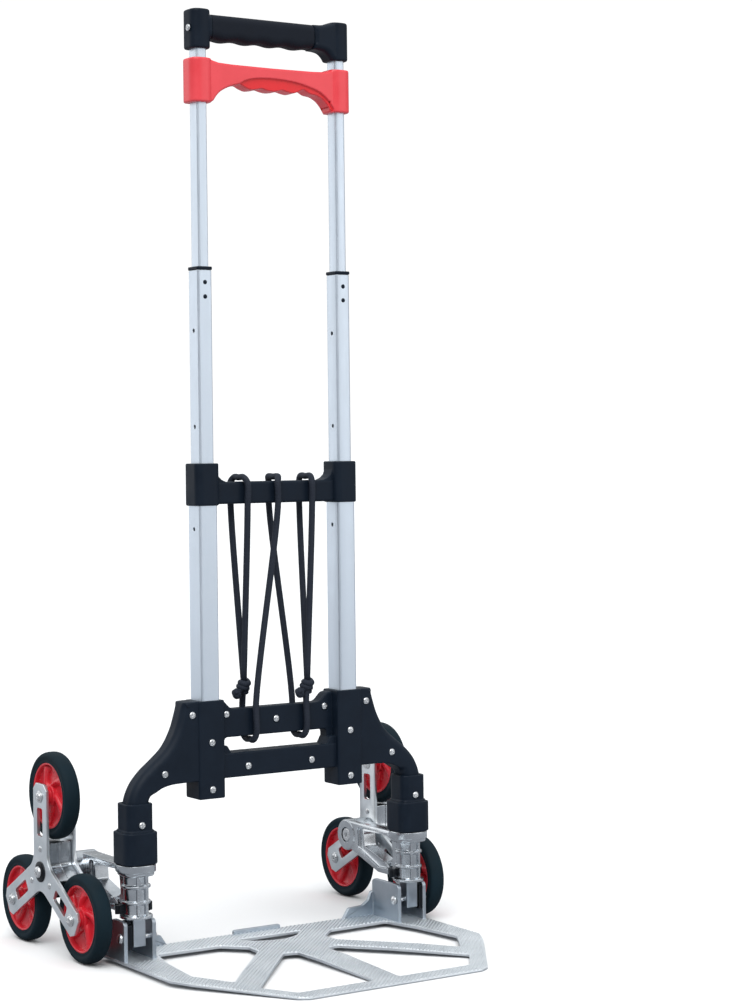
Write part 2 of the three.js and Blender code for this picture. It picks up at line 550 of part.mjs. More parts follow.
// ---------------------------------------------------------------- toe plate
function addToePlate() {
  const w = PLATE_HALF_W;
  const outline = [
    [-w, PLATE_REAR_Y], [-w, -112], [-194, -136], [-124, -236], [-112, PLATE_FRONT_Y],
    [112, PLATE_FRONT_Y], [124, -236], [194, -136], [w, -112], [w, PLATE_REAR_Y],
  ];
  const blank = prism('z', rounded(outline, [6, 10, 10, 8, 8, 8, 8, 10, 10, 6], 2), 0, PLATE_TOP);
  const sideWindow = rounded(
    [[52, -20], [76, 4], [156, 6], [168, -40], [177, -108], [150, -152], [54, -44]],
    [4, 6, 6, 10, 10, 5, 4], 2,
  );
  const frontWindow = rounded(
    [[20, -74], [36, -70], [138, -184], [112, -219], [17, -219]],
    [5, 6, 5, 5, 5], 2,
  );
  const rearWindow = rounded([[-40, 18], [-26, 3], [0, -8], [26, 3], [40, 18]], [3, 6, 10, 6, 3], 2);
  const windows = [prism('z', rearWindow, -5, 20)];
  [-1, 1].forEach((s) => {
    [sideWindow, frontWindow].forEach((points) => windows.push(prism('z', mirrored(points, s), -5, 20)));
  });
  const wedge = prism('x', [[TAPER_Y, PLATE_TOP], [PLATE_FRONT_Y - 5, LIP_Z - 0.2], [PLATE_FRONT_Y - 5, 20],
    [TAPER_Y, 20]], -300, 300);
  const plate = cut(blank, windows).subtract(wedge);

  const ears = [];
  [-1, 1].forEach((s) => {
    const spans = [[EAR.in0, EAR.in1, [[EAR.y0, 0], [EAR.y1, 0], [EAR.y1, EAR.z1], [EAR.y0, EAR.z1]]],
      [EAR.out0, EAR.out1, [[EAR.y0, 0], [EAR.y1, 0], [EAR.y1, 12], [20, EAR.z1], [EAR.y0, EAR.z1]]]];
    spans.forEach(([a, b, side]) => {
      const corners = side.length === 4 ? [0, 0, 5, 5] : [0, 0, 4, 5, 5];
      const [x0, x1] = s > 0 ? [a, b] : [-b, -a];
      const cheek = prism('x', rounded(side, corners, 3), x0, x1);
      ears.push(cheek.subtract(rod('x', 0, PIVOT_Z, PIN_R + GAP, x0 - 1, x1 + 1, 12)));
    });
    // Rear upstand that falls from the ear to the plate.
    const gusset = rounded(
      [[EAR.out1, 0], [EAR.out1, 21], [184, 24], [173, 36], [163, 36], [159, 26], [150, 20], [130, 19],
        [122, 6], [122, 0]],
      [0, 3, 8, 4, 4, 6, 8, 4, 0, 0], 3,
    );
    ears.push(prism('y', mirrored(gusset, s), PLATE_REAR_Y - 5, PLATE_REAR_Y));
    // Toothed sector about the pivot, beside the post.
    const teeth = [rod('x', 0, PIVOT_Z, 17, 195.5, 201.5, 16)];
    for (let i = 0; i < 5; i += 1) {
      const a = 10 + i * 26;
      const tooth = prism('x', [[14, -1.6], [20.2, -1.1], [20.2, 1.1], [14, 1.6]], 195.5, 201.5);
      teeth.push(tooth.rotate([a, 0, 0]).translate([0, 0, PIVOT_Z]));
    }
    const outline = union(teeth).subtract(rod('x', 0, PIVOT_Z, PIN_R + GAP, 190, 206, 12));
    const gear = outline.subtract(box(190, 206, EAR.y0 - 20, EAR.y0, 0, EAR.z1 + 10));
    ears.push(s > 0 ? gear : gear.mirror([1, 0, 0]));
  });
  const catchTab = box(-32, 32, PLATE_REAR_Y - 5, PLATE_REAR_Y, 2, 12);
  addPart('toe_plate', union([plate, ...ears, catchTab]), ALUMINIUM);

  const pin = turned('x', 0, PIVOT_Z, [
    [0, -EAR.out1 - 3.4], [4.6, -EAR.out1 - 3], [5.6, -EAR.out1 - GAP], [PIN_R, -EAR.out1 - GAP],
    [PIN_R, -EAR.in0 + GAP], [5.2, -EAR.in0 + GAP], [5.2, -EAR.in0 + 3.4], [0, -EAR.in0 + 3.4],
  ], 12);
  addPair('pivot_pin', pin, STEEL);
}

// ---------------------------------------------------------------- elastic cord
// A route whose sections are spread evenly between its stated points, not along its length.
class CordRoute extends THREE.CatmullRomCurve3 {
  getPointAt(u, target) {
    return this.getPoint(u, target);
  }

  getTangentAt(u, target) {
    return this.getTangent(u, target);
  }
}

function sweep(points) {
  const route = new CordRoute(points.map((p) => new THREE.Vector3(...p)), false, 'centripetal');
  const ring = circle(0, 0, CORD_R, CORD_SIDES).map(([a, b]) => new THREE.Vector2(a, b));
  const steps = (points.length - 1) * CORD_STEPS;
  const options = { steps, extrudePath: route, bevelEnabled: false };
  return solid(new THREE.ExtrudeGeometry(new THREE.Shape(ring), options));
}

function knot(x, y, z, scale) {
  const ball = new THREE.SphereGeometry(7, 10, 6);
  ball.scale(...scale);
  ball.translate(x, y, z);
  return solid(ball);
}

function addCord() {
  const off = CORD_R + 3 * GAP;
  const front = CLAMP_BAR.y0 - off;
  const back = CLAMP_BAR.y1 + off;
  const over = CLAMP_BAR.z1 + off;
  const lowFront = UPPER_BAR.y0 - off;
  const lowBack = UPPER_BAR.y1 + off;
  const under = UPPER_BAR.z0 - off;
  const crown = (x0, x1) => {
    const mid = (x0 + x1) / 2;
    return [[x0, front, CLAMP_BAR.z0 - 4], [x0, front, CLAMP_BAR.z1 - 1], [mid, front + 4, over + 0.2],
      [mid, (front + back) / 2, over + 0.2], [mid, back - 4, over + 0.2],
      [x1, back, CLAMP_BAR.z1 - 1], [x1, back, CLAMP_BAR.z0 - 4]];
  };
  const sole = (x0, x1) => {
    const mid = (x0 + x1) / 2;
    return [[x0, lowBack, UPPER_BAR.z1 + 6], [x0, lowBack, UPPER_BAR.z0 + 2], [mid, lowBack - 4, under - 0.4],
      [mid, (lowFront + lowBack) / 2, under - 0.4], [mid, lowFront + 4, under - 0.4],
      [x1, lowFront, UPPER_BAR.z0 + 2], [x1, lowFront, UPPER_BAR.z1 + 6]];
  };
  const leftKnot = [-37, 9, 302];
  const rightKnot = [40, -6.5, 299];
  const leftLoop = [leftKnot, ...crown(-42, -47), leftKnot.map((v, i) => v + [1.5, 1.5, 0][i])];
  const rightLoop = [rightKnot, ...crown(46, 47), rightKnot.map((v, i) => v + [1.5, 1.5, 0][i])];
  const middle = [leftKnot, ...sole(-33, -30), ...crown(-1, 5), ...sole(35, 38.5), rightKnot];
  const body = union([
    sweep(leftLoop),
    sweep(rightLoop),
    sweep(middle),
    knot(...leftKnot, [0.95, 0.95, 1.15]),
    knot(...rightKnot, [0.95, 0.95, 1.15]),
    knot(leftKnot[0] - 5.5, leftKnot[1] - 2, leftKnot[2] - 7.5, [0.9, 0.9, 0.95]),
    knot(rightKnot[0] - 6.5, rightKnot[1] - 1, rightKnot[2] - 7, [0.9, 0.9, 0.95]),
  ]);
  addPart('elastic_cord', body, CORD);
}

addColumns();
addClamp();
addHandles();
addBase();
addPosts();
addArms();
addStars();
addToePlate();
addCord();

export default group;
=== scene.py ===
import math

import bmesh
import bpy
from mathutils import Matrix, Vector


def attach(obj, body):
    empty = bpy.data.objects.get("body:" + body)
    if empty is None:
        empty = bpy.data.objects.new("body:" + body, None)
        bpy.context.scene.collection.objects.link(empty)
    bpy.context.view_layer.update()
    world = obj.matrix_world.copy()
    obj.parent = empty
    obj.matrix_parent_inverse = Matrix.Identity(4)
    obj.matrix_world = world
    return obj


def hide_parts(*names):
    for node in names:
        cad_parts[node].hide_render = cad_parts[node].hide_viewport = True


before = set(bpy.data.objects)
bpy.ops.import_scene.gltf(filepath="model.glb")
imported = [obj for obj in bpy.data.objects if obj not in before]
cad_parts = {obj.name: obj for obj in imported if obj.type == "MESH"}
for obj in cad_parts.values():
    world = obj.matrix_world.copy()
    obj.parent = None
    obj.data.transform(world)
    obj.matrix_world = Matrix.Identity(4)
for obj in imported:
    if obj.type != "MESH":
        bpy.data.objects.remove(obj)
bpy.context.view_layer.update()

MM = 0.001
SIDES = (("left", -1), ("right", 1))

# --- dimensions, in millimetres
GAP = 0.3
TUBE_X = 94.0
POST_X = 186.0
OUTER = {"w": 23.5, "d": 26.5, "wall": 1.3, "z0": 182.0, "z1": 556.4}
MIDDLE = {"w": 18.5, "d": 22.0, "wall": 1.3, "z0": 478.0, "z1": 777.7}
UPPER = {"w": 13.0, "d": 18.2, "wall": 1.2, "z0": 720.0, "z1": 1064.0}
CORNER_R = 2.5
LOCK_R = 2.4
OUTER_HOLES = (484.0,)
MIDDLE_HOLES = (709.0, 600.0)
PEG_Z = (763.8, 747.5)
WHEEL_R = 50.0
RIM_R = 37.5
STAR_R = 86.0
LEG_W = 33.0
LEG_END = 101.0
SLOT = (40.5, 73.0, 14.0)
HUB_Y = 118.0
HUB_Z = 93.0
WHEEL_X = 227.0
PLATE_HALF = 19.0
PLATE_T = 4.0
LEG_ANGLES = (("top", 90.0), ("rear", -30.0), ("front", 210.0))
BOSS_X0 = 175.0
BOSS_X1 = 207.6
PIVOT_Z = 32.0
PLATE_TOP = 8.0
TAPER_Y = -118.0
FRONT_Y = -242.5
REAR_Y = 50.0
LIP_Z = 2.6
RIB_HEIGHT = 0.9
PLATE_SHEET = 3.8
CORD_R = 3.7
CLAMP_BAR = {"y0": -8.0, "y1": 12.0, "z0": 511.7, "z1": 537.0}
UPPER_BAR = {"y0": -2.0, "y1": 14.0, "z0": 245.0, "z1": 277.0}
HANDLE_W = 25.5
HANDLE_D = 27.5
RELEASE_W = 28.0
RELEASE_D = 28.5
GRIP_X0 = -80.9
GRIP_X1 = 57.0
GRIP_WAVE_X = -62.5
GRIP_PITCH = 33.0
PIN_HOLE_R = 3.3
WHEEL_HOLE_R = 4.3
AXLE_HOLE_R = 6.3
POST_HOLE_R = 7.3
LEFT_SPAN = (-300, -150)
SHARP_ANGLE = math.radians(35.0)

# --- camera
CAMERA_AT = Vector((-1.4055, -2.2425, 0.581))
CAMERA_TURN = math.radians(32.077)
CAMERA_ROLL = math.radians(0.667)


def make_camera():
    data = bpy.data.cameras.new("camera")
    data.lens = 81.7
    data.sensor_width = 36.0
    data.shift_x = 0.1032
    data.shift_y = -0.0603
    camera = placed(data, "camera")
    ahead = Vector((math.sin(CAMERA_TURN), math.cos(CAMERA_TURN), 0))
    level = Vector((ahead.y, -ahead.x, 0))
    up = Vector((0, 0, 1)) * math.cos(CAMERA_ROLL) + level * math.sin(CAMERA_ROLL)
    right = ahead.cross(up)
    turn = Matrix((right, up, -ahead)).transposed().to_4x4()
    camera.matrix_world = Matrix.Translation(CAMERA_AT) @ turn
    bpy.context.scene.camera = camera


# --- outlines
def rectangle(x0, x1, y0, y1):
    return [(x0, y0), (x1, y0), (x1, y1), (x0, y1)]


def hexagon(x, y, radius):
    turns = [math.pi / 3 * i for i in range(6)]
    return [(x + radius * math.cos(t), y + radius * math.sin(t)) for t in turns]


def rounded(points, radii, steps=6):
    """The closed outline with each corner rounded; radii is one number or one per corner."""
    result = []
    count = len(points)
    for i, corner in enumerate(points):
        radius = radii[i] if isinstance(radii, (list, tuple)) else radii
        c = Vector(corner)
        if radius <= 0:
            result.append(tuple(c))
            continue
        u = Vector(points[i - 1]) - c
        v = Vector(points[(i + 1) % count]) - c
        back = radius / math.tan(u.angle(v) / 2)
        back = min(back, 0.49 * u.length, 0.49 * v.length)
        p, q = c + u.normalized() * back, c + v.normalized() * back
        for s in range(steps + 1):
            t = s / steps
            result.append(tuple((1 - t) ** 2 * p + 2 * t * (1 - t) * c + t**2 * q))
    return result


def square(x, y, w, d, radius, steps=6):
    return rounded(rectangle(x - w / 2, x + w / 2, y - d / 2, y + d / 2), radius, steps)


def mirrored(points, side):
    return [(side * x, z) for x, z in points]


def symmetric(half, radii, steps=6):
    """Rounded outline of the half on the right and its mirror image."""
    return rounded(half + mirrored(half, -1)[::-1], radii + radii[::-1], steps)


def tidy(points, edge):
    """The outline anticlockwise and without repeated points, with its edge radius per point."""
    edges = list(edge) if isinstance(edge, (list, tuple)) else [edge] * len(points)
    kept = [
        (p, e)
        for i, (p, e) in enumerate(zip(points, edges))
        if (Vector(p) - Vector(points[i - 1])).length > 1e-4
    ]
    area = sum(kept[i - 1][0][0] * p[1] - p[0] * kept[i - 1][0][1] for i, (p, _) in enumerate(kept))
    if area < 0:
        kept.reverse()
    return [p for p, _ in kept], [e for _, e in kept]


def inset(points, amounts):
    result = []
    for i, point in enumerate(points):
        here = Vector(point)
        before = (here - Vector(points[i - 1])).normalized()
        after = (Vector(points[(i + 1) % len(points)]) - here).normalized()
        inward = Vector((-(before.y + after.y), before.x + after.x))
        inward.normalize()
        share = max(inward.dot(Vector((-before.y, before.x))), 0.6)
        result.append(tuple(here + inward * (amounts[i] / share)))
    return result


# --- solids
def placed(data, name="part"):
    """A new object in the scene, made from its data."""
    obj = bpy.data.objects.new(name, data)
    bpy.context.scene.collection.objects.link(obj)
    return obj


def solid(bm, name="part"):
    """A new object with the bmesh's faces."""
    mesh = bpy.data.meshes.new(name)
    bm.to_mesh(mesh)
    bm.free()
    return placed(mesh, name)


PLACES = {
    "x": lambda a, b, h: (h, a, b),
    "y": lambda a, b, h: (a, h, b),
    "z": lambda a, b, h: (a, b, h),
}


def loft(loops, closed=False, capped=True, lengths=None):
    """Skin through loops of equal count, in millimetres. Lengths give each loop its UV."""
    bm = bmesh.new()
    rings = [[bm.verts.new([c * MM for c in point]) for point in loop] for loop in loops]
    layer = bm.loops.layers.uv.new("route") if lengths else None
    count = len(rings[0])
    last = len(rings) if closed else len(rings) - 1
    for i in range(last):
        low, high = rings[i], rings[(i + 1) % len(rings)]
        for j in range(count):
            k = (j + 1) % count
            face = bm.faces.new((low[j], low[k], high[k], high[j]))
            if layer:
                marks = ((j, i), (j + 1, i), (j + 1, i + 1), (j, i + 1))
                for corner, (a, b) in zip(face.loops, marks):
                    corner[layer].uv = (a / count, lengths[b])
    if capped and not closed:
        bm.faces.new(rings[0][::-1])
        bm.faces.new(rings[-1])
    bmesh.ops.remove_doubles(bm, verts=bm.verts, dist=1e-7)
    bmesh.ops.dissolve_degenerate(bm, edges=bm.edges, dist=1e-7)
    bmesh.ops.recalc_face_normals(bm, faces=bm.faces)
    return solid(bm)


def prism(axis, outline, start, end):
    points, _ = tidy(outline, 0)
    place = PLACES[axis]
    return loft([[place(a, b, h) for a, b in points] for h in (start, end)])


def slab(axis, outline, start, end, edge=1.0, steps=3, ends=(True, True)):
    """Prism with rounded rims. Edge is the rim radius, one number or one per point."""
    points, amounts = tidy(outline, edge)
    place = PLACES[axis]
    turns = [math.pi / 2 * k / steps for k in range(steps + 1)]
    loops = []
    for soft, level, way, order in zip(ends, (start, end), (1, -1), (turns, turns[::-1])):
        if not soft:
            loops.append([place(a, b, level) for a, b in points])
            continue
        for t in order:
            rim = inset(points, [e * (1 - math.sin(t)) for e in amounts])
            rise = way * (1 - math.cos(t))
            loops.append([place(a, b, level + e * rise) for (a, b), e in zip(rim, amounts)])
    return loft(loops)


def box(x0, x1, y0, y1, z0, z1):
    return prism("z", rectangle(x0, x1, y0, y1), z0, z1)


def lathe(axis, a, b, profile, sides=64, closed=False):
    """Turned solid about an axis through (a, b); profile points are (radius, height)."""
    place = PLACES[axis]
    ring = [2 * math.pi * i / sides for i in range(sides)]
    loops = [
        [place(a + r * math.cos(t), b + r * math.sin(t), h) for t in ring] for r, h in profile
    ]
    return loft(loops, closed=closed, capped=False)


def rod(axis, a, b, radius, start, end, sides=48):
    return lathe(axis, a, b, [(0, start), (radius, start), (radius, end), (0, end)], sides)


def smooth_path(points, per=8):
    """Centripetal Catmull-Rom curve through the points."""
    knots = [Vector(p) for p in points]
    knots = [2 * knots[0] - knots[1], *knots, 2 * knots[-1] - knots[-2]]
    path = []
    for i in range(1, len(knots) - 2):
        p0, p1, p2, p3 = knots[i - 1 : i + 3]
        spans = (p1 - p0, p2 - p1, p3 - p2)
        d0, d1, d2 = (math.sqrt(max(span.length, 1e-6)) for span in spans)
        m1 = ((p1 - p0) / d0 - (p2 - p0) / (d0 + d1) + (p2 - p1) / d1) * d1
        m2 = ((p2 - p1) / d1 - (p3 - p1) / (d1 + d2) + (p3 - p2) / d2) * d1
        for s in range(per):
            t = s / per
            path.append(
                (2 * t**3 - 3 * t**2 + 1) * p1 + (t**3 - 2 * t**2 + t) * m1
                + (3 * t**2 - 2 * t**3) * p2 + (t**3 - t**2) * m2
            )
    path.append(knots[-2])
    return path


def sweep(path, radius, sides=14):
    """Round tube along the points, with its length and turn kept as UV."""
    side = None
    loops, lengths = [], []
    length = 0.0
    for i, here in enumerate(path):
        ahead = (path[min(i + 1, len(path) - 1)] - path[max(i - 1, 0)]).normalized()
        if side is None:
            side = ahead.orthogonal().normalized()
        side = (side - ahead * side.dot(ahead)).normalized()
        other = ahead.cross(side)
        if i:
            length += (here - path[i - 1]).length
        turn = [2 * math.pi * j / sides for j in range(sides)]
        loops.append([here + radius * (side * math.cos(t) + other * math.sin(t)) for t in turn])
        lengths.append(length)
    return loft(loops, lengths=lengths)


def settle(obj):
    """Applies the object's modifiers to its mesh."""
    graph = bpy.context.evaluated_depsgraph_get()
    graph.update()
    mesh = bpy.data.meshes.new_from_object(obj.evaluated_get(graph))
    old = obj.data
    obj.modifiers.clear()
    obj.data = mesh
    bpy.data.meshes.remove(old)
    return obj


def triangulate(obj):
    bm = bmesh.new()
    bm.from_mesh(obj.data)
    wide = [face for face in bm.faces if len(face.verts) > 3]
    bmesh.ops.triangulate(bm, faces=wide, quad_method="BEAUTY", ngon_method="BEAUTY")
    bm.to_mesh(obj.data)
    bm.free()


def combine(obj, tools, operation="DIFFERENCE"):
    triangulate(obj)
    for tool in tools:
        triangulate(tool)
        modifier = obj.modifiers.new("combine", "BOOLEAN")
        modifier.object = tool
        modifier.operation = operation
        modifier.solver = "MANIFOLD"
        settle(obj)
        bpy.data.objects.remove(tool)
    return obj


def union(parts):
    return combine(parts[0], parts[1:], "UNION")


def cut(obj, tools):
    return combine(obj, tools)


def join(objects):
    """One object with the meshes of all, without joining their surfaces."""
    bm = bmesh.new()
    for obj in objects:
        bm.from_mesh(obj.data)
        bpy.data.objects.remove(obj)
    return solid(bm)


def copy_of(obj, matrix=Matrix()):
    twin = placed(obj.data.copy())
    twin.data.transform(matrix)
    return twin


def soften(obj):
    """Smooth shading over round stretches, while wide faces stay flat and hard edges stay sharp."""
    obj.data.shade_smooth()
    obj.data.set_sharp_from_angle(angle=SHARP_ANGLE)
    normals = obj.modifiers.new("normals", "WEIGHTED_NORMAL")
    normals.keep_sharp = True
    normals.weight = 80
    return settle(obj)


def melt(obj, voxel):
    """Remeshes a moulded piece so that its shapes flow into each other."""
    remesh = obj.modifiers.new("remesh", "REMESH")
    remesh.mode = "VOXEL"
    remesh.voxel_size = voxel * MM
    remesh.use_smooth_shade = True
    even = obj.modifiers.new("even", "SMOOTH")
    even.factor = 0.5
    even.iterations = 4
    return settle(obj)


# --- materials
class Graph:
    """The nodes of a material or a world."""

    def __init__(self, owner):
        owner.use_nodes = True
        self.nodes, self.links = owner.node_tree.nodes, owner.node_tree.links

    def fill(self, socket, value):
        """Links the socket where the value is one too, or sets it."""
        if isinstance(value, bpy.types.NodeSocket):
            self.links.new(value, socket)
        elif value is not None:
            socket.default_value = value

    def set(self, node, **values):
        """Fills the node's inputs, each named with _ for a space."""
        for name, value in values.items():
            self.fill(node.inputs[name.replace("_", " ")], value)
        return node

    def add(self, kind, **values):
        return self.set(self.nodes.new("ShaderNode" + kind), **values)


class Look(Graph):
    """A procedural material."""

    def __init__(self, name):
        self.material = bpy.data.materials.new(name)
        super().__init__(self.material)
        self.coordinates = self.add("TexCoord").outputs["Object"]

    def noise(self, scale, stretch=(1, 1, 1), detail=4.0):
        way = self.add("Mapping", Scale=stretch, Vector=self.coordinates).outputs["Vector"]
        node = self.add("TexNoise", Scale=scale, Detail=detail, Roughness=0.55, Vector=way)
        return node.outputs["Fac"]

    def spread(self, source, low, high, start=0.3, end=0.7):
        node = self.add("MapRange", From_Min=start, From_Max=end, To_Min=low, To_Max=high)
        self.fill(node.inputs["Value"], source)
        return node.outputs["Result"]

    def blend(self, factor, a, b):
        node = self.nodes.new("ShaderNodeMix")
        node.data_type = "RGBA"
        self.fill(node.inputs["Factor"], factor)
        for socket, value in ((node.inputs[6], a), (node.inputs[7], b)):
            self.fill(socket, (*value, 1) if isinstance(value, tuple) else value)
        return node.outputs[2]

    def bump(self, height, strength, distance, below=None):
        node = self.add("Bump", Strength=strength, Distance=distance, Height=height, Normal=below)
        return node.outputs["Normal"]

    def math(self, operation, a, b=None):
        node = self.nodes.new("ShaderNodeMath")
        node.operation = operation
        self.fill(node.inputs[0], a)
        self.fill(node.inputs[1], b)
        return node.outputs[0]

    def worn_and_highlit_colour(self, cloud, dark, light, edge_wear_and_highlight, radius=0.5):
        """A cloudy colour, lighter along the edges as wear and painted highlight, and normals that
        turn around them.
        """
        bevel = self.add("Bevel", Radius=radius * MM)
        bevel.samples = 6
        normal = bevel.outputs["Normal"]
        facing = self.nodes.new("ShaderNodeVectorMath")
        facing.operation = "DOT_PRODUCT"
        self.fill(facing.inputs[0], normal)
        self.fill(facing.inputs[1], self.add("NewGeometry").outputs["Normal"])
        # Edge mask: the lighter edge colour is partly wear and partly a painted edge highlight.
        edge = self.spread(facing.outputs["Value"], 1, 0, 0.86, 0.99)
        return self.blend(edge, self.blend(self.spread(cloud, 0, 1), dark, light), edge_wear_and_highlight), normal

    def finish(self, **values):
        self.set(self.nodes["Principled BSDF"], **values)
        return self.material


def moulded(name, dark, light, rough, grain, depth, edge_wear_and_highlight, level):
    """Moulded plastic or rubber with a fine spark-eroded grain."""
    look = Look(name)
    cloud = look.noise(38, detail=3.0)
    colour, normal = look.worn_and_highlit_colour(cloud, dark, light, edge_wear_and_highlight)
    return look.finish(
        Base_Color=colour,
        Roughness=look.spread(cloud, *rough),
        Normal=look.bump(look.noise(grain, detail=2.0), 0.35, depth, normal),
        Specular_IOR_Level=level,
    )


def metal(name, dark, light, rough, stretch, grain, depth, edge_wear_and_highlight):
    """Bare metal with a directional or cast surface."""
    look = Look(name)
    cloud = look.noise(30)
    fine = look.noise(grain, stretch, detail=3.0)
    colour, normal = look.worn_and_highlit_colour(cloud, dark, light, edge_wear_and_highlight)
    mixed = look.math("ADD", *(look.math("MULTIPLY", part, 0.5) for part in (cloud, fine)))
    return look.finish(
        Base_Color=colour,
        Metallic=1.0,
        Roughness=look.spread(mixed, *rough),
        Normal=look.bump(fine, 0.3, depth, normal),
    )


def braid(name):
    """Black woven sheath of the elastic cord: two crossing strands from the route's UV."""
    strands, pitch = 8, 3.2
    look = Look(name)
    uv = look.nodes.new("ShaderNodeUVMap")
    uv.uv_map = "route"
    split = look.add("SeparateXYZ", Vector=uv.outputs["UV"])
    around = look.math("MULTIPLY", split.outputs[0], 2 * math.pi * strands)
    along = look.math("MULTIPLY", split.outputs[1], 2 * math.pi / pitch)
    one, two = (look.math("SINE", look.math(way, around, along)) for way in ("ADD", "SUBTRACT"))
    weave = look.spread(look.math("MULTIPLY", one, two), 0, 1, -1, 1)
    cloud = look.noise(60)
    colour = look.blend(weave, (0.01, 0.014, 0.025), (0.019, 0.026, 0.041))
    return look.finish(
        Base_Color=look.blend(look.spread(cloud, 0, 0.4), colour, (0.014, 0.019, 0.031)),
        Roughness=look.spread(cloud, 0.62, 0.8),
        Normal=look.bump(weave, 0.6, 0.0004),
        Specular_IOR_Level=0.3,
    )


# The last colour of each moulded and metal look lightens its edges: partly wear, partly painted
# highlight.
LOOKS = {
    "black": moulded(
        "moulded_black", (0.0045, 0.0095, 0.0185), (0.007, 0.0135, 0.0245),
        (0.4, 0.56), 900, 0.00012, (0.02, 0.028, 0.04), 0.15),
    "grip": moulded(
        "soft_grip", (0.008, 0.011, 0.018), (0.0105, 0.014, 0.022),
        (0.6, 0.75), 900, 0.00025, (0.014, 0.019, 0.028), 0.15),
    "red_handle": moulded(
        "moulded_red", (0.87, 0.055, 0.07), (0.94, 0.074, 0.092),
        (0.32, 0.42), 1400, 0.00006, (0.9, 0.1, 0.1), 0.5),
    # Deeper red of the finger-recess panels: partly an insert's own colour, partly painted shade of
    # the recess.
    "red_insert_and_recess_shade": moulded(
        "moulded_red_insert_and_recess_shade", (0.8, 0.014, 0.02), (0.88, 0.02, 0.028),
        (0.34, 0.46), 1400, 0.00006, (0.8, 0.06, 0.07), 0.4),
    "red_rim": moulded(
        "moulded_red_rim", (0.6, 0.016, 0.03), (0.72, 0.024, 0.042),
        (0.24, 0.36), 1200, 0.00006, (0.8, 0.07, 0.09), 0.5),
    "tyre": moulded(
        "tyre_rubber", (0.0038, 0.013, 0.0195), (0.006, 0.0175, 0.026),
        (0.62, 0.8), 700, 0.00025, (0.014, 0.026, 0.036), 0.15),
    "tube": metal(
        "satin_tube", (0.655, 0.73, 0.815), (0.7, 0.77, 0.85),
        (0.36, 0.5), (1, 1, 0.012), 1500, 0.00003, (0.86, 0.9, 0.94)),
    "cast": metal(
        "cast_aluminium", (0.4, 0.43, 0.46), (0.62, 0.65, 0.68),
        (0.15, 0.3), (1, 1, 1), 260, 0.00012, (0.84, 0.86, 0.88)),
    # Darker aluminium of the ears and gussets: partly a darker cast finish, partly painted shade
    # between the ears.
    "ear_dark_cast_and_shade": metal(
        "ear_aluminium_dark_cast_and_shade", (0.34, 0.39, 0.44), (0.44, 0.48, 0.53),
        (0.34, 0.5), (1, 1, 1), 320, 0.0001, (0.72, 0.74, 0.76)),
    "plate": metal(
        "star_plate_aluminium", (0.66, 0.71, 0.74), (0.84, 0.87, 0.9),
        (0.28, 0.44), (0.05, 1, 1), 900, 0.00004, (0.88, 0.89, 0.9)),
    "post": metal(
        "post_steel", (0.32, 0.36, 0.41), (0.44, 0.48, 0.53),
        (0.3, 0.46), (1, 1, 0.2), 420, 0.00006, (0.6, 0.62, 0.64)),
    "deck": metal(
        "deck_aluminium", (0.78, 0.83, 0.87), (0.86, 0.9, 0.93),
        (0.38, 0.55), (1, 1, 1), 420, 0.00008, (0.92, 0.94, 0.96)),
    "steel": metal(
        "zinc_steel", (0.58, 0.6, 0.62), (0.72, 0.73, 0.74),
        (0.2, 0.36), (1, 1, 1), 900, 0.00003, (0.86, 0.87, 0.88)),
    "dark_steel": metal(
        "blackened_steel", (0.012, 0.014, 0.018), (0.026, 0.029, 0.034),
        (0.3, 0.46), (1, 1, 1), 600, 0.00008, (0.1, 0.11, 0.12)),
    "cord": braid("braided_cord"),
}


def piece(obj, name, body, look, *nodes, slot=None):
    """Names the piece, gives it its look, and puts it on its body in place of the CAD nodes."""
    obj.name = name
    obj.data.name = name
    obj.data.materials.clear()
    obj.data.materials.append(LOOKS[look])
    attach(obj, body)
    if nodes:
        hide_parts(*nodes)


def pair(obj, name, bodies, look, *nodes, slot=None):
    """The left piece and its mirror image; {} in a body or node becomes the side's name."""
    twin = copy_of(obj, Matrix.Scale(-1, 4, Vector((1, 0, 0))))
    twin.data.flip_normals()
    for made, (side, _) in zip((obj, twin), SIDES):
        replaced = [node.format(side) for node in nodes]
        piece(made, f"{name}_{side}", bodies.format(side), look, *replaced, slot=slot)


# --- elastic cord
def cord_crown(x0, x1, front, back, over):
    mid = (x0 + x1) / 2
    low, high, top = CLAMP_BAR["z0"] - 4, CLAMP_BAR["z1"] - 1, over + 0.2
    return [
        (x0, front, low), (x0, front, high), (mid, front + 4, top), (mid, (front + back) / 2, top),
        (mid, back - 4, top), (x1, back, high), (x1, back, low),
    ]


def cord_sole(x0, x1, front, back, under):
    mid = (x0 + x1) / 2
    high, low, bottom = UPPER_BAR["z1"] + 6, UPPER_BAR["z0"] + 2, under - 0.4
    return [
        (x0, back, high), (x0, back, low), (mid, back - 4, bottom),
        (mid, (front + back) / 2, bottom), (mid, front + 4, bottom), (x1, front, low),
        (x1, front, high),
    ]


def coil(centre, radius, turns, pitch, tilt, thick):
    """A wrap of cord round the strands: turns of a small helix."""
    steps = int(turns * 18)
    turn = Matrix.Rotation(tilt[0], 3, "X") @ Matrix.Rotation(tilt[1], 3, "Y")
    path = []
    for i in range(steps + 1):
        a = 2 * math.pi * turns * i / steps
        height = pitch * turns * (i / steps - 0.5)
        spot = Vector((radius * math.cos(a), radius * math.sin(a), height))
        path.append(Vector(centre) + turn @ spot)
    return sweep(path, thick, 12)


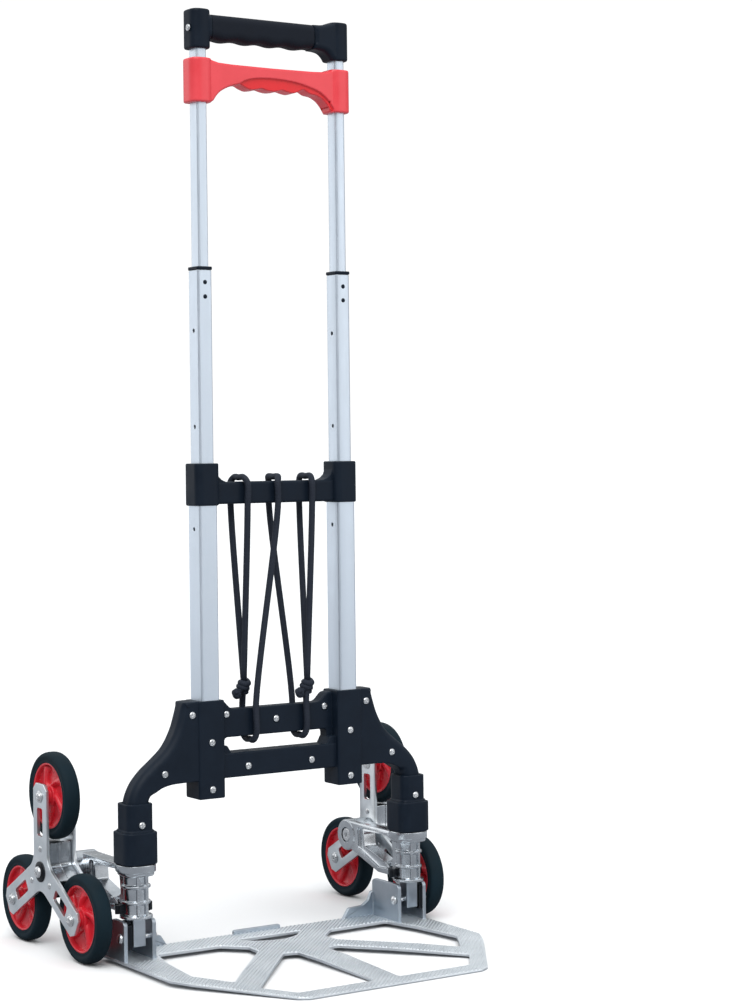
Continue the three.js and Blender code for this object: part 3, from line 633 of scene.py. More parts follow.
def make_cord():
    off = CORD_R + 3 * GAP
    high = (CLAMP_BAR["y0"] - off, CLAMP_BAR["y1"] + off, CLAMP_BAR["z1"] + off)
    low = (UPPER_BAR["y0"] - off, UPPER_BAR["y1"] + off, UPPER_BAR["z0"] - off)
    left, right = (-37, 9, 302), (40, -6.5, 299)
    beside = [(x + 1.5, y + 1.5, z) for x, y, z in (left, right)]
    routes = [
        [left, *cord_crown(-42, -47, *high), beside[0]],
        [right, *cord_crown(46, 47, *high), beside[1]],
        [left, *cord_sole(-33, -30, *low), *cord_crown(-1, 5, *high), *cord_sole(35, 38.5, *low),
         right],
    ]
    strands = [sweep(smooth_path(route, 10), CORD_R) for route in routes]
    for (x, y, z), (dx, dy, dz) in ((left, (-9, 0.5, -9.5)), (right, (-9.5, 0.5, -9))):
        tail = (x + dx, y + dy, z + dz)
        between = (x + dx / 2, y + dy - 1, z + dz / 2)
        strands += [
            coil((x, y, z + 0.5), 4.3, 2.3, 4.8, (0.35, 0.25), 3.5),
            coil((x, y, z - 4), 3.8, 1.4, 3.6, (-0.5, 0.4), 3.4),
            coil(tail, 3.2, 1.6, 2.6, (0.9, 0.5), 3.2),
            coil(tail, 2.8, 1.3, 2, (-0.4, 1.3), 3.2),
            sweep(smooth_path([(x, y, z - 2), between, tail], 8), 3.2),
        ]
    cord = join(strands)
    cord.data.polygons.foreach_set("use_smooth", [True] * len(cord.data.polygons))
    piece(cord, "elastic_cord_braided", "base", "cord", "elastic_cord")


# --- telescopic columns
def bores(tube, z0, z1):
    """Holes for both tubes of a stage, a little wider than the tubes."""
    w, d = tube["w"] + 2 * GAP, tube["d"] + 2 * GAP
    return [prism("z", square(s * TUBE_X, 0, w, d, CORNER_R), z0, z1) for _, s in SIDES]


def make_tube(spec, name, body, node, holes):
    width, z0, z1, walls, bevel = spec["w"], spec["z0"], spec["z1"], 2 * spec["wall"], 0.3
    outer = square(-TUBE_X, 0, width, spec["d"], CORNER_R)
    inner = square(-TUBE_X, 0, width - walls, spec["d"] - walls, 1.2)
    rim = inset(outer, [bevel] * len(outer))
    rings = (
        (outer, z0 + bevel), (outer, z1 - bevel), (rim, z1), (inner, z1), (inner, z0), (rim, z0),
    )
    tube = loft([[(a, b, h) for a, b in ring] for ring, h in rings], closed=True)
    outside = -TUBE_X - width / 2
    cut(tube, [rod("x", 0, z, LOCK_R, outside - 1, outside + width + 1, 24) for z in holes])
    pair(soften(tube), name, body, "tube", node + "_{}")


def make_columns():
    make_tube(OUTER, "column_tube_outer", "base", "outer_tube", OUTER_HOLES)
    make_tube(MIDDLE, "column_tube_middle", "middle_stage", "middle_tube", MIDDLE_HOLES)
    make_tube(UPPER, "column_tube_upper", "upper_stage", "upper_tube", ())

    ring = slab("z", square(-TUBE_X, 0, MIDDLE["w"] + 1.6, MIDDLE["d"] + 1.6, 3.2),
                MIDDLE["z1"] + GAP, MIDDLE["z1"] + 4, 0.8)
    cut(ring, [prism("z", square(-TUBE_X, 0, UPPER["w"] + 0.8, UPPER["d"] + 0.8, 2.5), 770, 790)])
    pair(soften(ring), "column_end_ring", "middle_stage", "black", "stage_ring_{}")

    front = -MIDDLE["d"] / 2
    pegs = []
    for z in PEG_Z:
        profile = [(0, -0.9), (1.5, -0.8), (2.3, -0.45), (2.6, -0.02), (2.6, 1), (0, 1)]
        pegs.append(lathe("y", -TUBE_X, z, [(r, front + h) for r, h in profile], 24))
    pair(soften(join(pegs)), "guide_pegs", "middle_stage", "black")


# --- clamp and handles
def make_clamp():
    parts = []
    for _, s in SIDES:
        parts.append(slab("z", square(s * TUBE_X, 0.75, 31, 32.5, 9, 8), 510.5, 558.5, 1.6, 4))
        fillet = rounded(
            [(80, 534), (66, 534), (66, 537), (72, 539.5), (76.5, 543.5), (78.5, 549), (80, 549)],
            [0, 0, 6, 6, 6, 2, 0], 4,
        )
        parts.append(slab("y", mirrored(fillet, s), -7, 11, 1.2, 3))
    bar = rectangle(CLAMP_BAR["y0"], CLAMP_BAR["y1"], CLAMP_BAR["z0"], CLAMP_BAR["z1"])
    parts.append(slab("x", rounded(bar, 3.2), -82, 82, 0.5))
    clamp = union(parts)
    cut(clamp, [*bores(OUTER, 500, 556.7), *bores(MIDDLE, 550, 570)])
    piece(soften(clamp), "bridge_clamp_moulding", "base", "black", "bridge_clamp")


def socket_outline(s, width, depth, front, back):
    """Outline of a handle socket, rounder at the front than at the back."""
    x, w, d = s * TUBE_X, width / 2, depth / 2
    corners = rectangle(x - w, x + w, -d, d)
    return rounded(corners, [front, front, back, back], 8)


def make_top_handle():
    sockets = [socket_outline(s, HANDLE_W, HANDLE_D, 11.5, 8) for _, s in SIDES]
    parts = [slab("z", outline, 1029, 1074, 2.4, 4) for outline in sockets]
    parts.append(slab("x", rounded(rectangle(-7, 7, 1046, 1063), 2), -90, 90, 0.5))
    flare = smooth_outline(
        [(57.3, 1040), (66, 1039.6), (74, 1037.6), (79, 1033.5), (81.8, 1029.5)], 5,
    )
    flare += [(90, 1029.5), (90, 1073)]
    flare += smooth_outline([(83, 1073), (77, 1071.4), (70, 1069.7), (57.3, 1069)], 4)
    parts.append(slab("y", flare, -13.2, 13.2, 6.5, 6))
    stub = rounded(rectangle(-13.4, 13.4, 1040.6, 1068.6), 9.5, 8)
    parts.append(slab("x", stub, -86, -81.2, 0.6))
    handle = union(parts)
    cut(handle, bores(UPPER, 1020, UPPER["z1"] + GAP))
    melt(handle, 0.7)
    piece(handle, "top_handle_moulding", "upper_stage", "black", "top_handle")

    count = 160
    loops = []
    for i in range(count + 1):
        x = GRIP_X0 + (GRIP_X1 - GRIP_X0) * i / count
        wave = 0.5 - 0.5 * math.cos(2 * math.pi * (x - GRIP_WAVE_X) / GRIP_PITCH)
        ends = min(1, (x - GRIP_X0) / 8, (GRIP_X1 - x) / 8)
        low = 1038.8 + 1.9 * (wave * ends + 1 - ends)
        shrink = 0.8 * max(0, 1 - min(x - GRIP_X0, GRIP_X1 - x) / 1.2)
        half = 13.5 - shrink
        section = rounded(rectangle(-half, half, low + shrink, 1069 - shrink), 10, 9)
        loops.append([(x, y, z) for y, z in section])
    grip = loft(loops)
    cut(grip, [box(-82, 60, -7.3, 7.3, 1045.7, 1063.3)])
    piece(soften(grip), "top_grip_sleeve", "upper_stage", "grip", "top_grip")


def make_release_handle():
    sockets = [socket_outline(s, RELEASE_W, RELEASE_D, 12, 8.5) for _, s in SIDES]
    parts = [slab("z", outline, 968, 1018.5, 2, 4) for outline in sockets]
    lobes = [
        (82, 969), (79.5, 970.5), (76, 976), (70, 981.8), (62, 985.9), (52, 987.6), (43, 991.6),
        (36.5, 988.8), (29, 986.6), (21, 987.4), (14.3, 988.8), (7, 987.2), (0, 986.5),
        (-7, 987.2), (-14.3, 988.8), (-21, 987.4), (-29, 986.6), (-36.5, 988.8), (-43, 991.6),
        (-49, 990.4), (-55, 988.8), (-62, 986), (-70, 981.5), (-76, 975.5), (-79.5, 970.5),
        (-82, 969),
    ]
    edge = smooth_outline(lobes, 5)
    body = [
        *edge, (-90, 969), (-90, 1016.5), (-81, 1016.5), (-72, 1014.4), (-55, 1013.6), (0, 1013.2),
        (55, 1013.6), (72, 1014.4), (81, 1016.5), (90, 1016.5), (90, 969),
    ]
    parts.append(slab("y", body, -11.5, 11.5, 2.2, 4))
    handle = union(parts)
    arc = smooth_outline(
        [(84, 972), (77, 981), (66, 989.5), (50, 995.2), (30, 999.2), (5, 1001), (-18, 1000.4),
         (-34, 997.5), (-44, 992.5), (-50, 984)], 5,
    )
    region = [*arc, (-50, 960), (84, 960)]
    recesses = [
        slab("y", region, -30, -8.6, 1, 3, (False, True)),
        slab("y", region, 8.6, 30, 1, 3, (True, False)),
    ]
    slot = box(77.5, 79.7, -14, 14, 960, 981)
    cut(handle, [*recesses, slot, *bores(UPPER, 960, 1030)])
    melt(handle, 0.65)
    piece(handle, "release_handle_moulding", "release", "red_handle", "release_handle")

    # Thin deeper-red panels over the recess floors: partly a separate insert's colour, partly
    # painted recess shade.
    shape = inset(*tidy(body, 0.9))
    panels = []
    for y0, y1 in ((-9.1, -8.2), (8.2, 9.1)):
        panel = combine(prism("y", shape, y0, y1), [prism("y", region, -12, 12)], "INTERSECT")
        panels.append(soften(panel))
    piece(join(panels), "release_handle_inset_and_recess_shade", "release", "red_insert_and_recess_shade")


# --- base frame
def resampled(points):
    """The outline with points about 2.5 mm apart."""
    result = []
    for i, point in enumerate(points):
        a, b = Vector(point), Vector(points[(i + 1) % len(points)])
        count = max(1, int((b - a).length / 2.5))
        result.extend(tuple(a.lerp(b, k / count)) for k in range(count))
    return result


def smooth_outline(points, per=6):
    return [(p.x, p.y) for p in smooth_path([(x, z, 0) for x, z in points], per)]


def wing(side):
    half = 13.5
    left, right = POST_X - half, POST_X + half
    outer = smooth_outline([
        (128, 289), (132, 275), (138, 258), (149, 240), (163, 227.5), (178, 215.5), (190, 202),
        (197, 187), (right, 171),
    ])
    inner = smooth_outline([
        (left, 182), (170.5, 187), (165.5, 192), (157.5, 196.3), (146, 199), (130, 199.8),
    ])
    outline = resampled([
        (80, 290), (126, 290), (126.9, 289.7), *outer, (right, 155.6), (left, 155.6), *inner,
        (80, 199.8),
    ])
    rims = []
    for x, z in outline:
        outside = x > 126.5 and z > 200 and x + z > 366
        elbow = x > 168 and z < 206
        rims.append(9.0 if outside or elbow else 1.4)
    count = len(rims)
    for _ in range(6):
        rims = [(rims[i - 1] + rims[i] + rims[(i + 1) % count]) / 3 for i in range(count)]
    return slab("y", mirrored(outline, side), -13.4, 13.4, rims, 7)


def make_base():
    parts = []
    for _, s in SIDES:
        section = rounded(rectangle(s * TUBE_X - 17, s * TUBE_X + 17, -15.5, 17), 3, 5)
        parts += [wing(s), slab("z", section, 179, 290, 1.4, 3)]
    upper = symmetric([(79, 245), (79, 289), (70, 287), (60, 277)], [0, 0, 6, 12])
    parts.append(slab("y", upper, UPPER_BAR["y0"], UPPER_BAR["y1"], 1.6, 3))
    parts.append(slab("y", rectangle(-79, 79, 200, 228), -10, 14, 1.6, 3))
    slot_end = rounded(
        [(80, 224), (80, 249), (65, 249), (65, 245.4), (68.4, 244.2), (70, 240.8), (70, 235),
         (64, 226.5), (64, 224)],
        [0, 0, 0, 0, 3, 4, 5, 4, 0], 4,
    )
    ramp = rounded([(80, 224), (80, 237), (70, 237), (64, 226.5), (64, 224)], [0, 0, 4, 4, 0], 4)
    for _, s in SIDES:
        parts.append(slab("y", mirrored(slot_end, s), -1.8, 13.2, 1, 3))
        parts.append(slab("y", mirrored(ramp, s), -9.2, 13.2, 1.4, 3))
    whole = union(parts)
    cut(whole, bores(OUTER, OUTER["z0"] - GAP, 300))
    rear = copy_of(whole)
    cut(whole, [box(-260, 260, 1.85, 60, 100, 320)])
    cut(rear, [box(-260, 260, -60, 2.15, 100, 320)])
    for shell, name in ((whole, "front"), (rear, "rear")):
        piece(soften(shell), f"base_frame_{name}", "base", "black", f"base_shell_{name}")


def dome_screw(radius, height):
    """Cross-recessed dome head that faces -Y, with its seat at the origin."""
    bend = [math.pi / 2 * k / 7 for k in range(8)]
    profile = [(0, -height)]
    profile += [(radius * math.sin(t), -height * math.cos(t) ** 0.8) for t in bend[1:]]
    profile += [(radius, 0.6), (0, 0.6)]
    head = lathe("y", 0, 0, profile, 32)
    arm, slim, deep = radius * 0.62, radius * 0.13, height * 0.45
    bars = [box(-a, a, -9, -deep, -b, b) for a, b in ((arm, slim), (slim, arm))]
    return cut(head, bars)


def make_screws():
    model = dome_screw(4.1, 2.1)
    seat = [(3.9, -0.35), (4.7, -0.3), (5.1, 0.1), (5.1, 0.6), (3.9, 0.6)]
    ring = lathe("y", 0, 0, seat, 32, closed=True)
    places = [(0, -2, 262)]
    for _, s in SIDES:
        for x, y, z in (
            (118.3, -13.4, 275.2), (94.2, -15.5, 242.8), (154.6, -13.4, 211.8),
            (94, -15.5, 189.6), (67, -2, 271.6), (43.2, -10, 211.8), (186.1, -16.5, 158.1),
        ):
            places.append((s * x, y, z))
    heads, rings = [], []
    for i, (x, y, z) in enumerate(places):
        spot = Matrix.Translation(Vector((x, y, z)) * MM) @ Matrix.Rotation(0.7 + 1.9 * i, 4, "Y")
        heads.append(copy_of(model, spot))
        rings.append(copy_of(ring, spot))
    for obj in (model, ring):
        bpy.data.objects.remove(obj)
    piece(soften(join(heads)), "frame_screws", "base", "steel")
    piece(soften(join(rings)), "frame_screw_seats", "base", "black")

    model = dome_screw(4, 1.6)
    spot = Matrix.Translation(Vector((-108.5, -4, 1052)) * MM)
    model.data.transform(spot @ Matrix.Rotation(-math.pi / 2, 4, "Z"))
    piece(soften(model), "handle_screw", "upper_stage", "steel")


# --- sleeves, posts and swivelling arms
def make_sleeves():
    low = slab("z", square(-POST_X, 0, 42, 42, 13, 8), 114.4, 150, 1.4, 4)
    shoulder = slab("z", square(-POST_X, 0, 36, 36, 11, 8), 148, 152.5, 2, 4)
    high = slab("z", square(-POST_X, 0, 33, 33, 10, 8), 140, 181.5, 1.2, 3)
    sleeve = union([low, shoulder, high])
    cut(sleeve, [
        prism("z", square(-POST_X, 0, 27.6, 27.6, 8.2), 155.3, 190),
        rod("z", -POST_X, 0, POST_HOLE_R, 100, 160),
    ])
    pair(soften(sleeve), "elbow_sleeve", "base", "black", "sleeve_{}")

    profile = [(0, 22.5), (6.2, 22.5), (7, 23.3), (7, 151.4), (6.4, 152), (0, 152)]
    post = lathe("z", -POST_X, 0, profile)
    cut(post, [rod("x", 0, PIVOT_Z, PIN_HOLE_R, -200, -170)])
    pair(soften(post), "pivot_post", "base", "steel", "post_{}")

    foot = slab("z", square(-POST_X, 0, 16, 16, 2, 4), 22.5, 53.4, 0.6, 2)
    cut(foot, [rod("z", -POST_X, 0, 7, 20, 60), rod("x", 0, PIVOT_Z, PIN_HOLE_R, -200, -170)])
    pair(soften(foot), "pivot_post_foot", "base", "post")


def teeth(x, y, count, step, start, half):
    """Toothed outline; half is the falling side of one tooth, as (degrees, radius)."""
    tooth = [(-turn, radius) for turn, radius in reversed(half)] + half
    points = [(math.radians(start + step * i + turn), r) for i in range(count) for turn, r in tooth]
    return [(x + r * math.cos(a), y + r * math.sin(a)) for a, r in points]


def make_arms():
    barrel = lathe("z", -POST_X, 0, [
        (0, 54), (18, 54), (18.5, 54.5), (18.5, 56.6), (18, 57.1), (15.2, 57.6), (14, 58.6),
        (14, 69.2), (16.1, 70.4), (16.5, 70.9), (16.5, 72.6), (16.1, 73.1), (14, 74), (14, 86.6),
        (16.1, 87.8), (16.5, 88.3), (16.5, 90.2), (16.1, 90.7), (14, 91.8), (14, 98), (15, 101),
        (17.5, 104), (17.5, 107), (0, 107),
    ], 72)
    collar = slab("z", square(-POST_X, 0, 43, 43, 20.5, 8), 105.5, 114, 1, 3)
    under = slab("z", square(-POST_X, 0, 36, 36, 12, 8), 100.8, 108, 2.6, 3)
    ribs = [box(-POST_X + x - 1.1, -POST_X + x + 1.1, -15.3, 0, 58, 104) for x in (-5.5, 5.5)]
    web = slab("x", rounded(
        [(6, 110), (6, 60), (20, 57), (50, 57), (104, 75), (118, 80), (118, 110.8)],
        [0, 0, 4, 8, 0, 0, 0],
    ), -196, -176, 1.2, 3)
    pocket = rounded([(92, 80), (94, 106), (23, 106), (20, 64), (50, 63)], 5, 5)
    window = rounded(
        [(80, 84), (82, 102), (34, 104), (20, 99), (17, 78), (36, 71)], [3, 3, 4, 4, 3, 3], 4,
    )
    lining = slab("x", rounded(
        [(84, 81), (86, 105), (31, 107), (17, 102), (14, 76), (35, 67.5)], [4, 4, 5, 5, 4, 4], 4,
    ), -194.4, -177.6, 0.8, 2)
    boss = lathe("x", HUB_Y, HUB_Z, [
        (0, -BOSS_X1), (18.2, -BOSS_X1), (19, -BOSS_X1 + 0.8), (19, -BOSS_X0 - 1.4),
        (17.6, -BOSS_X0), (0, -BOSS_X0),
    ], 64)
    cut(web, [
        slab("x", pocket, -179, -150, 1.5, 3, (True, False)),
        slab("x", pocket, -230, -193, 1.5, 3, (False, True)),
    ])
    body = union([web, lining, barrel, collar, under, *ribs, boss])
    strut = rounded([(14, 62), (19, 60), (40, 71), (37, 76)], 1.5, 3)
    body = union([body, slab("x", strut, -197.5, -174.5, 1, 2)])
    cut(body, [
        prism("x", window, -205, -165),
        rod("z", -POST_X, 0, POST_HOLE_R, 50, 120),
        rod("x", HUB_Y, HUB_Z, AXLE_HOLE_R, -BOSS_X1 - 5, -BOSS_X0 + 5),
        rod("x", HUB_Y, HUB_Z, 9.5, -BOSS_X0 - 4.5, -BOSS_X0 + 5),
    ])
    pair(soften(body), "swivel_arm_casting", "arm_{}", "cast", "wheel_arm_{}")

    # Toothed sector behind the barrel, blackened.
    front = 1.5
    outline = teeth(-POST_X, 0, 9, 25, -10, [(2.6, 24), (4.6, 19.6), (8.5, 19.4)])
    sector = [p for p in outline if p[1] > front]
    sector += [(-POST_X - 13, front), (-POST_X + 13, front)]
    gear = slab("z", sector, 58.8, 68.8, 0.5, 2)
    cut(gear, [rod("z", -POST_X, 0, 13.6, 50, 80)])
    pair(soften(gear), "swivel_gear", "arm_{}", "dark_steel", slot="aluminium_cast")

    left, right = -WHEEL_X - PLATE_HALF, -BOSS_X0
    bolt = lathe("x", HUB_Y, HUB_Z, [
        (0, left - 5.4), (3.6, left - 5.6), (5.6, left - 5.0), (6.4, left - 3.6),
        (6.5, left - 2.5), (6, left - 2.4), (6, right - 4.3), (8, right - 4.2),
        (8, right - 1.2), (7.2, right - 0.5), (0, right - 0.5),
    ], 48)
    hexes = ((left - 9, left - 2.8), (right - 2.6, right + 3))
    cut(bolt, [prism("x", hexagon(HUB_Y, HUB_Z, 3.2), *span) for span in hexes])
    pair(soften(bolt), "star_axle_bolt", "arm_{}", "steel", "star_bolt_{}")
    profile = [(6.1, -0.3), (6.1, -2), (9.4, -1.8), (11.8, -0.9), (12, -0.3)]
    washer = lathe("x", HUB_Y, HUB_Z, [(r, left + h) for r, h in profile], 48, closed=True)
    pair(soften(washer), "star_washer", "arm_{}", "dark_steel", slot="steel")


# --- tri-star wheel sets
def leg_point(angle, radius, side=0.0):
    c, s = math.cos(math.radians(angle)), math.sin(math.radians(angle))
    return (HUB_Y + radius * c - side * s, HUB_Z + radius * s + side * c)


def star_outline(length, width, chamfer, fillet):
    points, radii = [], []
    h = width / 2
    for _, angle in sorted(LEG_ANGLES, key=lambda leg: leg[1]):
        near, slim = length - chamfer, h - chamfer
        for r, s in ((near, -h), (length, -slim), (length, slim), (near, h)):
            points.append(leg_point(angle, r, s))
        points.append(leg_point(angle + 60, h / math.sin(math.radians(60))))
        radii += [1, 1, 1, 1, fillet]
    return rounded(points, radii, 10)


def make_stars():
    outer_x = -WHEEL_X - PLATE_HALF
    inner_x = -WHEEL_X + PLATE_HALF
    near, far, wide = SLOT
    slot = rounded(rectangle(near, far, -wide / 2, wide / 2), 3.2, 5)
    for name, x0 in (("outer", outer_x), ("inner", inner_x - PLATE_T)):
        plate = slab("x", star_outline(LEG_END, LEG_W, 7, 24), x0, x0 + PLATE_T, 0.6, 2)
        holes = [rod("x", HUB_Y, HUB_Z, AXLE_HOLE_R, *LEFT_SPAN)]
        for _, angle in LEG_ANGLES:
            holes.append(rod("x", *leg_point(angle, STAR_R), WHEEL_HOLE_R, *LEFT_SPAN))
            holes.append(prism("x", [leg_point(angle, r, s) for r, s in slot], *LEFT_SPAN))
        cut(plate, holes)
        node = f"star_plate_{name}"
        pair(soften(plate), node + "_pressed", "star_{}", "plate", node + "_{}")

    x0, x1 = outer_x + PLATE_T + GAP, inner_x - PLATE_T - GAP
    block = slab("x", star_outline(34.5, 24.4, 1.2, 8), x0, x1, 0.8, 2)
    groove = prism("x", star_outline(60, 40, 1, 1), -WHEEL_X - 0.5, -WHEEL_X + 0.5)
    cut(groove, [prism("x", star_outline(33.6, 22.6, 1.2, 8), *LEFT_SPAN)])
    cut(block, [rod("x", HUB_Y, HUB_Z, AXLE_HOLE_R, *LEFT_SPAN), groove])
    pair(soften(block), "star_block_casting", "star_{}", "cast", "star_block_{}")

    heights = [(0, 1.5), (1.9, 1.35), (3.1, 0.9), (3.8, 0.1), (3.8, -0.5), (0, -0.5)]
    rivets = []
    for _, angle in LEG_ANGLES:
        for x, out in ((outer_x, -1), (inner_x, 1)):
            profile = [(r, x + out * h) for r, h in heights]
            rivets.append(lathe("x", *leg_point(angle, 26), profile, 32))
    pair(soften(join(rivets)), "star_rivets", "star_{}", "steel")

    for leg, angle in LEG_ANGLES:
        y, z = leg_point(angle, STAR_R)
        bolt = lathe("x", y, z, [
            (0, outer_x - 3.3), (3.4, outer_x - 3.4), (4.8, outer_x - 2.6), (5.2, outer_x - 1.2),
            (6.8, outer_x - 1.0), (7, outer_x - 0.3), (4, outer_x - 0.2), (4, inner_x + 0.2),
            (7, inner_x + 0.3), (6.9, inner_x + 1.0), (5.3, inner_x + 1.2), (5, inner_x + 2.2),
            (3.6, inner_x + 2.6), (0, inner_x + 2.6),
        ], 40)
        hexes = ((outer_x - 6, outer_x - 1.6), (inner_x + 1.4, inner_x + 6))
        cut(bolt, [prism("x", hexagon(y, z, 2.3), *span) for span in hexes])
        pair(soften(bolt), f"wheel_axle_{leg}", "star_{}", "steel", f"wheel_bolt_{leg}_{{}}")


def both_ways(half, *middle):
    """Closed profile with the half's mirror image before it, and what is between them."""
    return [(r, -h) for r, h in half] + [*middle, *reversed(half)]


def make_wheels():
    tyre = lathe("x", 0, 0, both_ways([
        (37.8, 8.6), (39.2, 8.9), (40.6, 8.6), (41.4, 8.9), (43.6, 9.6), (45, 9.75), (46.6, 9.4),
        (47.9, 8.5), (48.9, 7), (49.6, 4.9), (49.93, 2.4),
    ], (WHEEL_R, 0)), 112, closed=True)
    soften(tyre)

    ring = [(34.3, 2.2), (34.9, 6.8), (35.6, 8), (36.6, 8.4), (RIM_R, 8.2)]
    web = [(8, 3.4), (14, 2.4), (27, 1.4), (35, 2.6)]
    hub = [(4.3, 14), (8.2, 14), (9, 13.2), (9.4, 8.2), (12.5, 7.6), (13.2, 6.8)]
    ring, web = (lathe("x", 0, 0, both_ways(half), 96, closed=True) for half in (ring, web))
    hub = lathe("x", 0, 0, both_ways(hub), closed=True)
    holes, spokes = [], []
    steps, sides = 14, 20
    for k in range(5):
        base = math.radians(72 * k + 10)
        points = [(28.6, 0.6), (30.6, 0.72), (30.4, 0.86), (27.4, 0.86), (25.4, 0.74)]
        gap = [(r * math.cos(base + a), r * math.sin(base + a)) for r, a in points]
        holes.append(prism("x", rounded(gap, 1.4, 4), -12, 12))
        loops = []
        for i in range(steps + 1):
            t = i / steps
            radius = 8 + 26.5 * t
            a = base + 0.42 * math.sin(math.pi * t * 0.5) + 0.3 * t
            wide = 5.4 - 2.2 * math.sin(math.pi * min(t * 1.1, 1)) + 1.6 * t
            tall = 7.4 - 1.6 * t
            centre = Vector((radius * math.cos(a), radius * math.sin(a)))
            across = Vector((-math.sin(a + 0.35), math.cos(a + 0.35)))
            section = []
            for j in range(sides):
                b = 2 * math.pi * j / sides
                c, s = math.cos(b), math.sin(b)
                spot = centre + across * wide * math.copysign(abs(c) ** 0.8, c)
                section.append((tall * math.copysign(abs(s) ** 0.8, s), spot.x, spot.y))
            loops.append(section)
        spokes.append(loft(loops))
    cut(web, holes)
    rim = union([web, ring, *spokes, hub])
    cut(rim, [rod("x", 0, 0, WHEEL_HOLE_R, -20, 20)])
    soften(rim)

    for side, s in SIDES:
        for leg, angle in LEG_ANGLES:
            y, z = leg_point(angle, STAR_R)
            spot = Matrix.Translation(Vector((s * WHEEL_X, y, z)) * MM)
            turn = Matrix.Rotation(math.radians(17 * len(leg) + 31 * s), 4, "X")
            at = f"{leg}_{side}"
            body = f"wheel_{at}"
            piece(copy_of(tyre, spot), f"tyre_ring_{at}", body, "tyre", f"tyre_{at}")
            piece(copy_of(rim, spot @ turn), f"wheel_rim_{at}", body, "red_rim", f"rim_{at}")
    for obj in (tyre, rim):
        bpy.data.objects.remove(obj)


# --- toe plate
def deck_height(y, z):
    """Height of a point of the flat plate once the plate is tapered to its front lip."""
    share = min(max((TAPER_Y - y) / (TAPER_Y - FRONT_Y), 0), 1)
    top = PLATE_TOP + share * (LIP_Z - PLATE_TOP)
    thin = 1.0 + share * (LIP_Z / PLATE_SHEET - 1.0)
    return top - (PLATE_TOP - z) * thin


def taper(obj):
    """Thins the plate from its middle to the front edge."""
    bm = bmesh.new()
    bm.from_mesh(obj.data)
    everything = list(bm.verts) + list(bm.edges) + list(bm.faces)
    bmesh.ops.bisect_plane(bm, geom=everything, plane_co=(0, TAPER_Y * MM, 0), plane_no=(0, 1, 0))
    for vert in bm.verts:
        if vert.co.z <= PLATE_TOP * MM + 1e-6:
            vert.co.z = deck_height(vert.co.y / MM, vert.co.z / MM) * MM
    bm.to_mesh(obj.data)
    bm.free()
    return obj


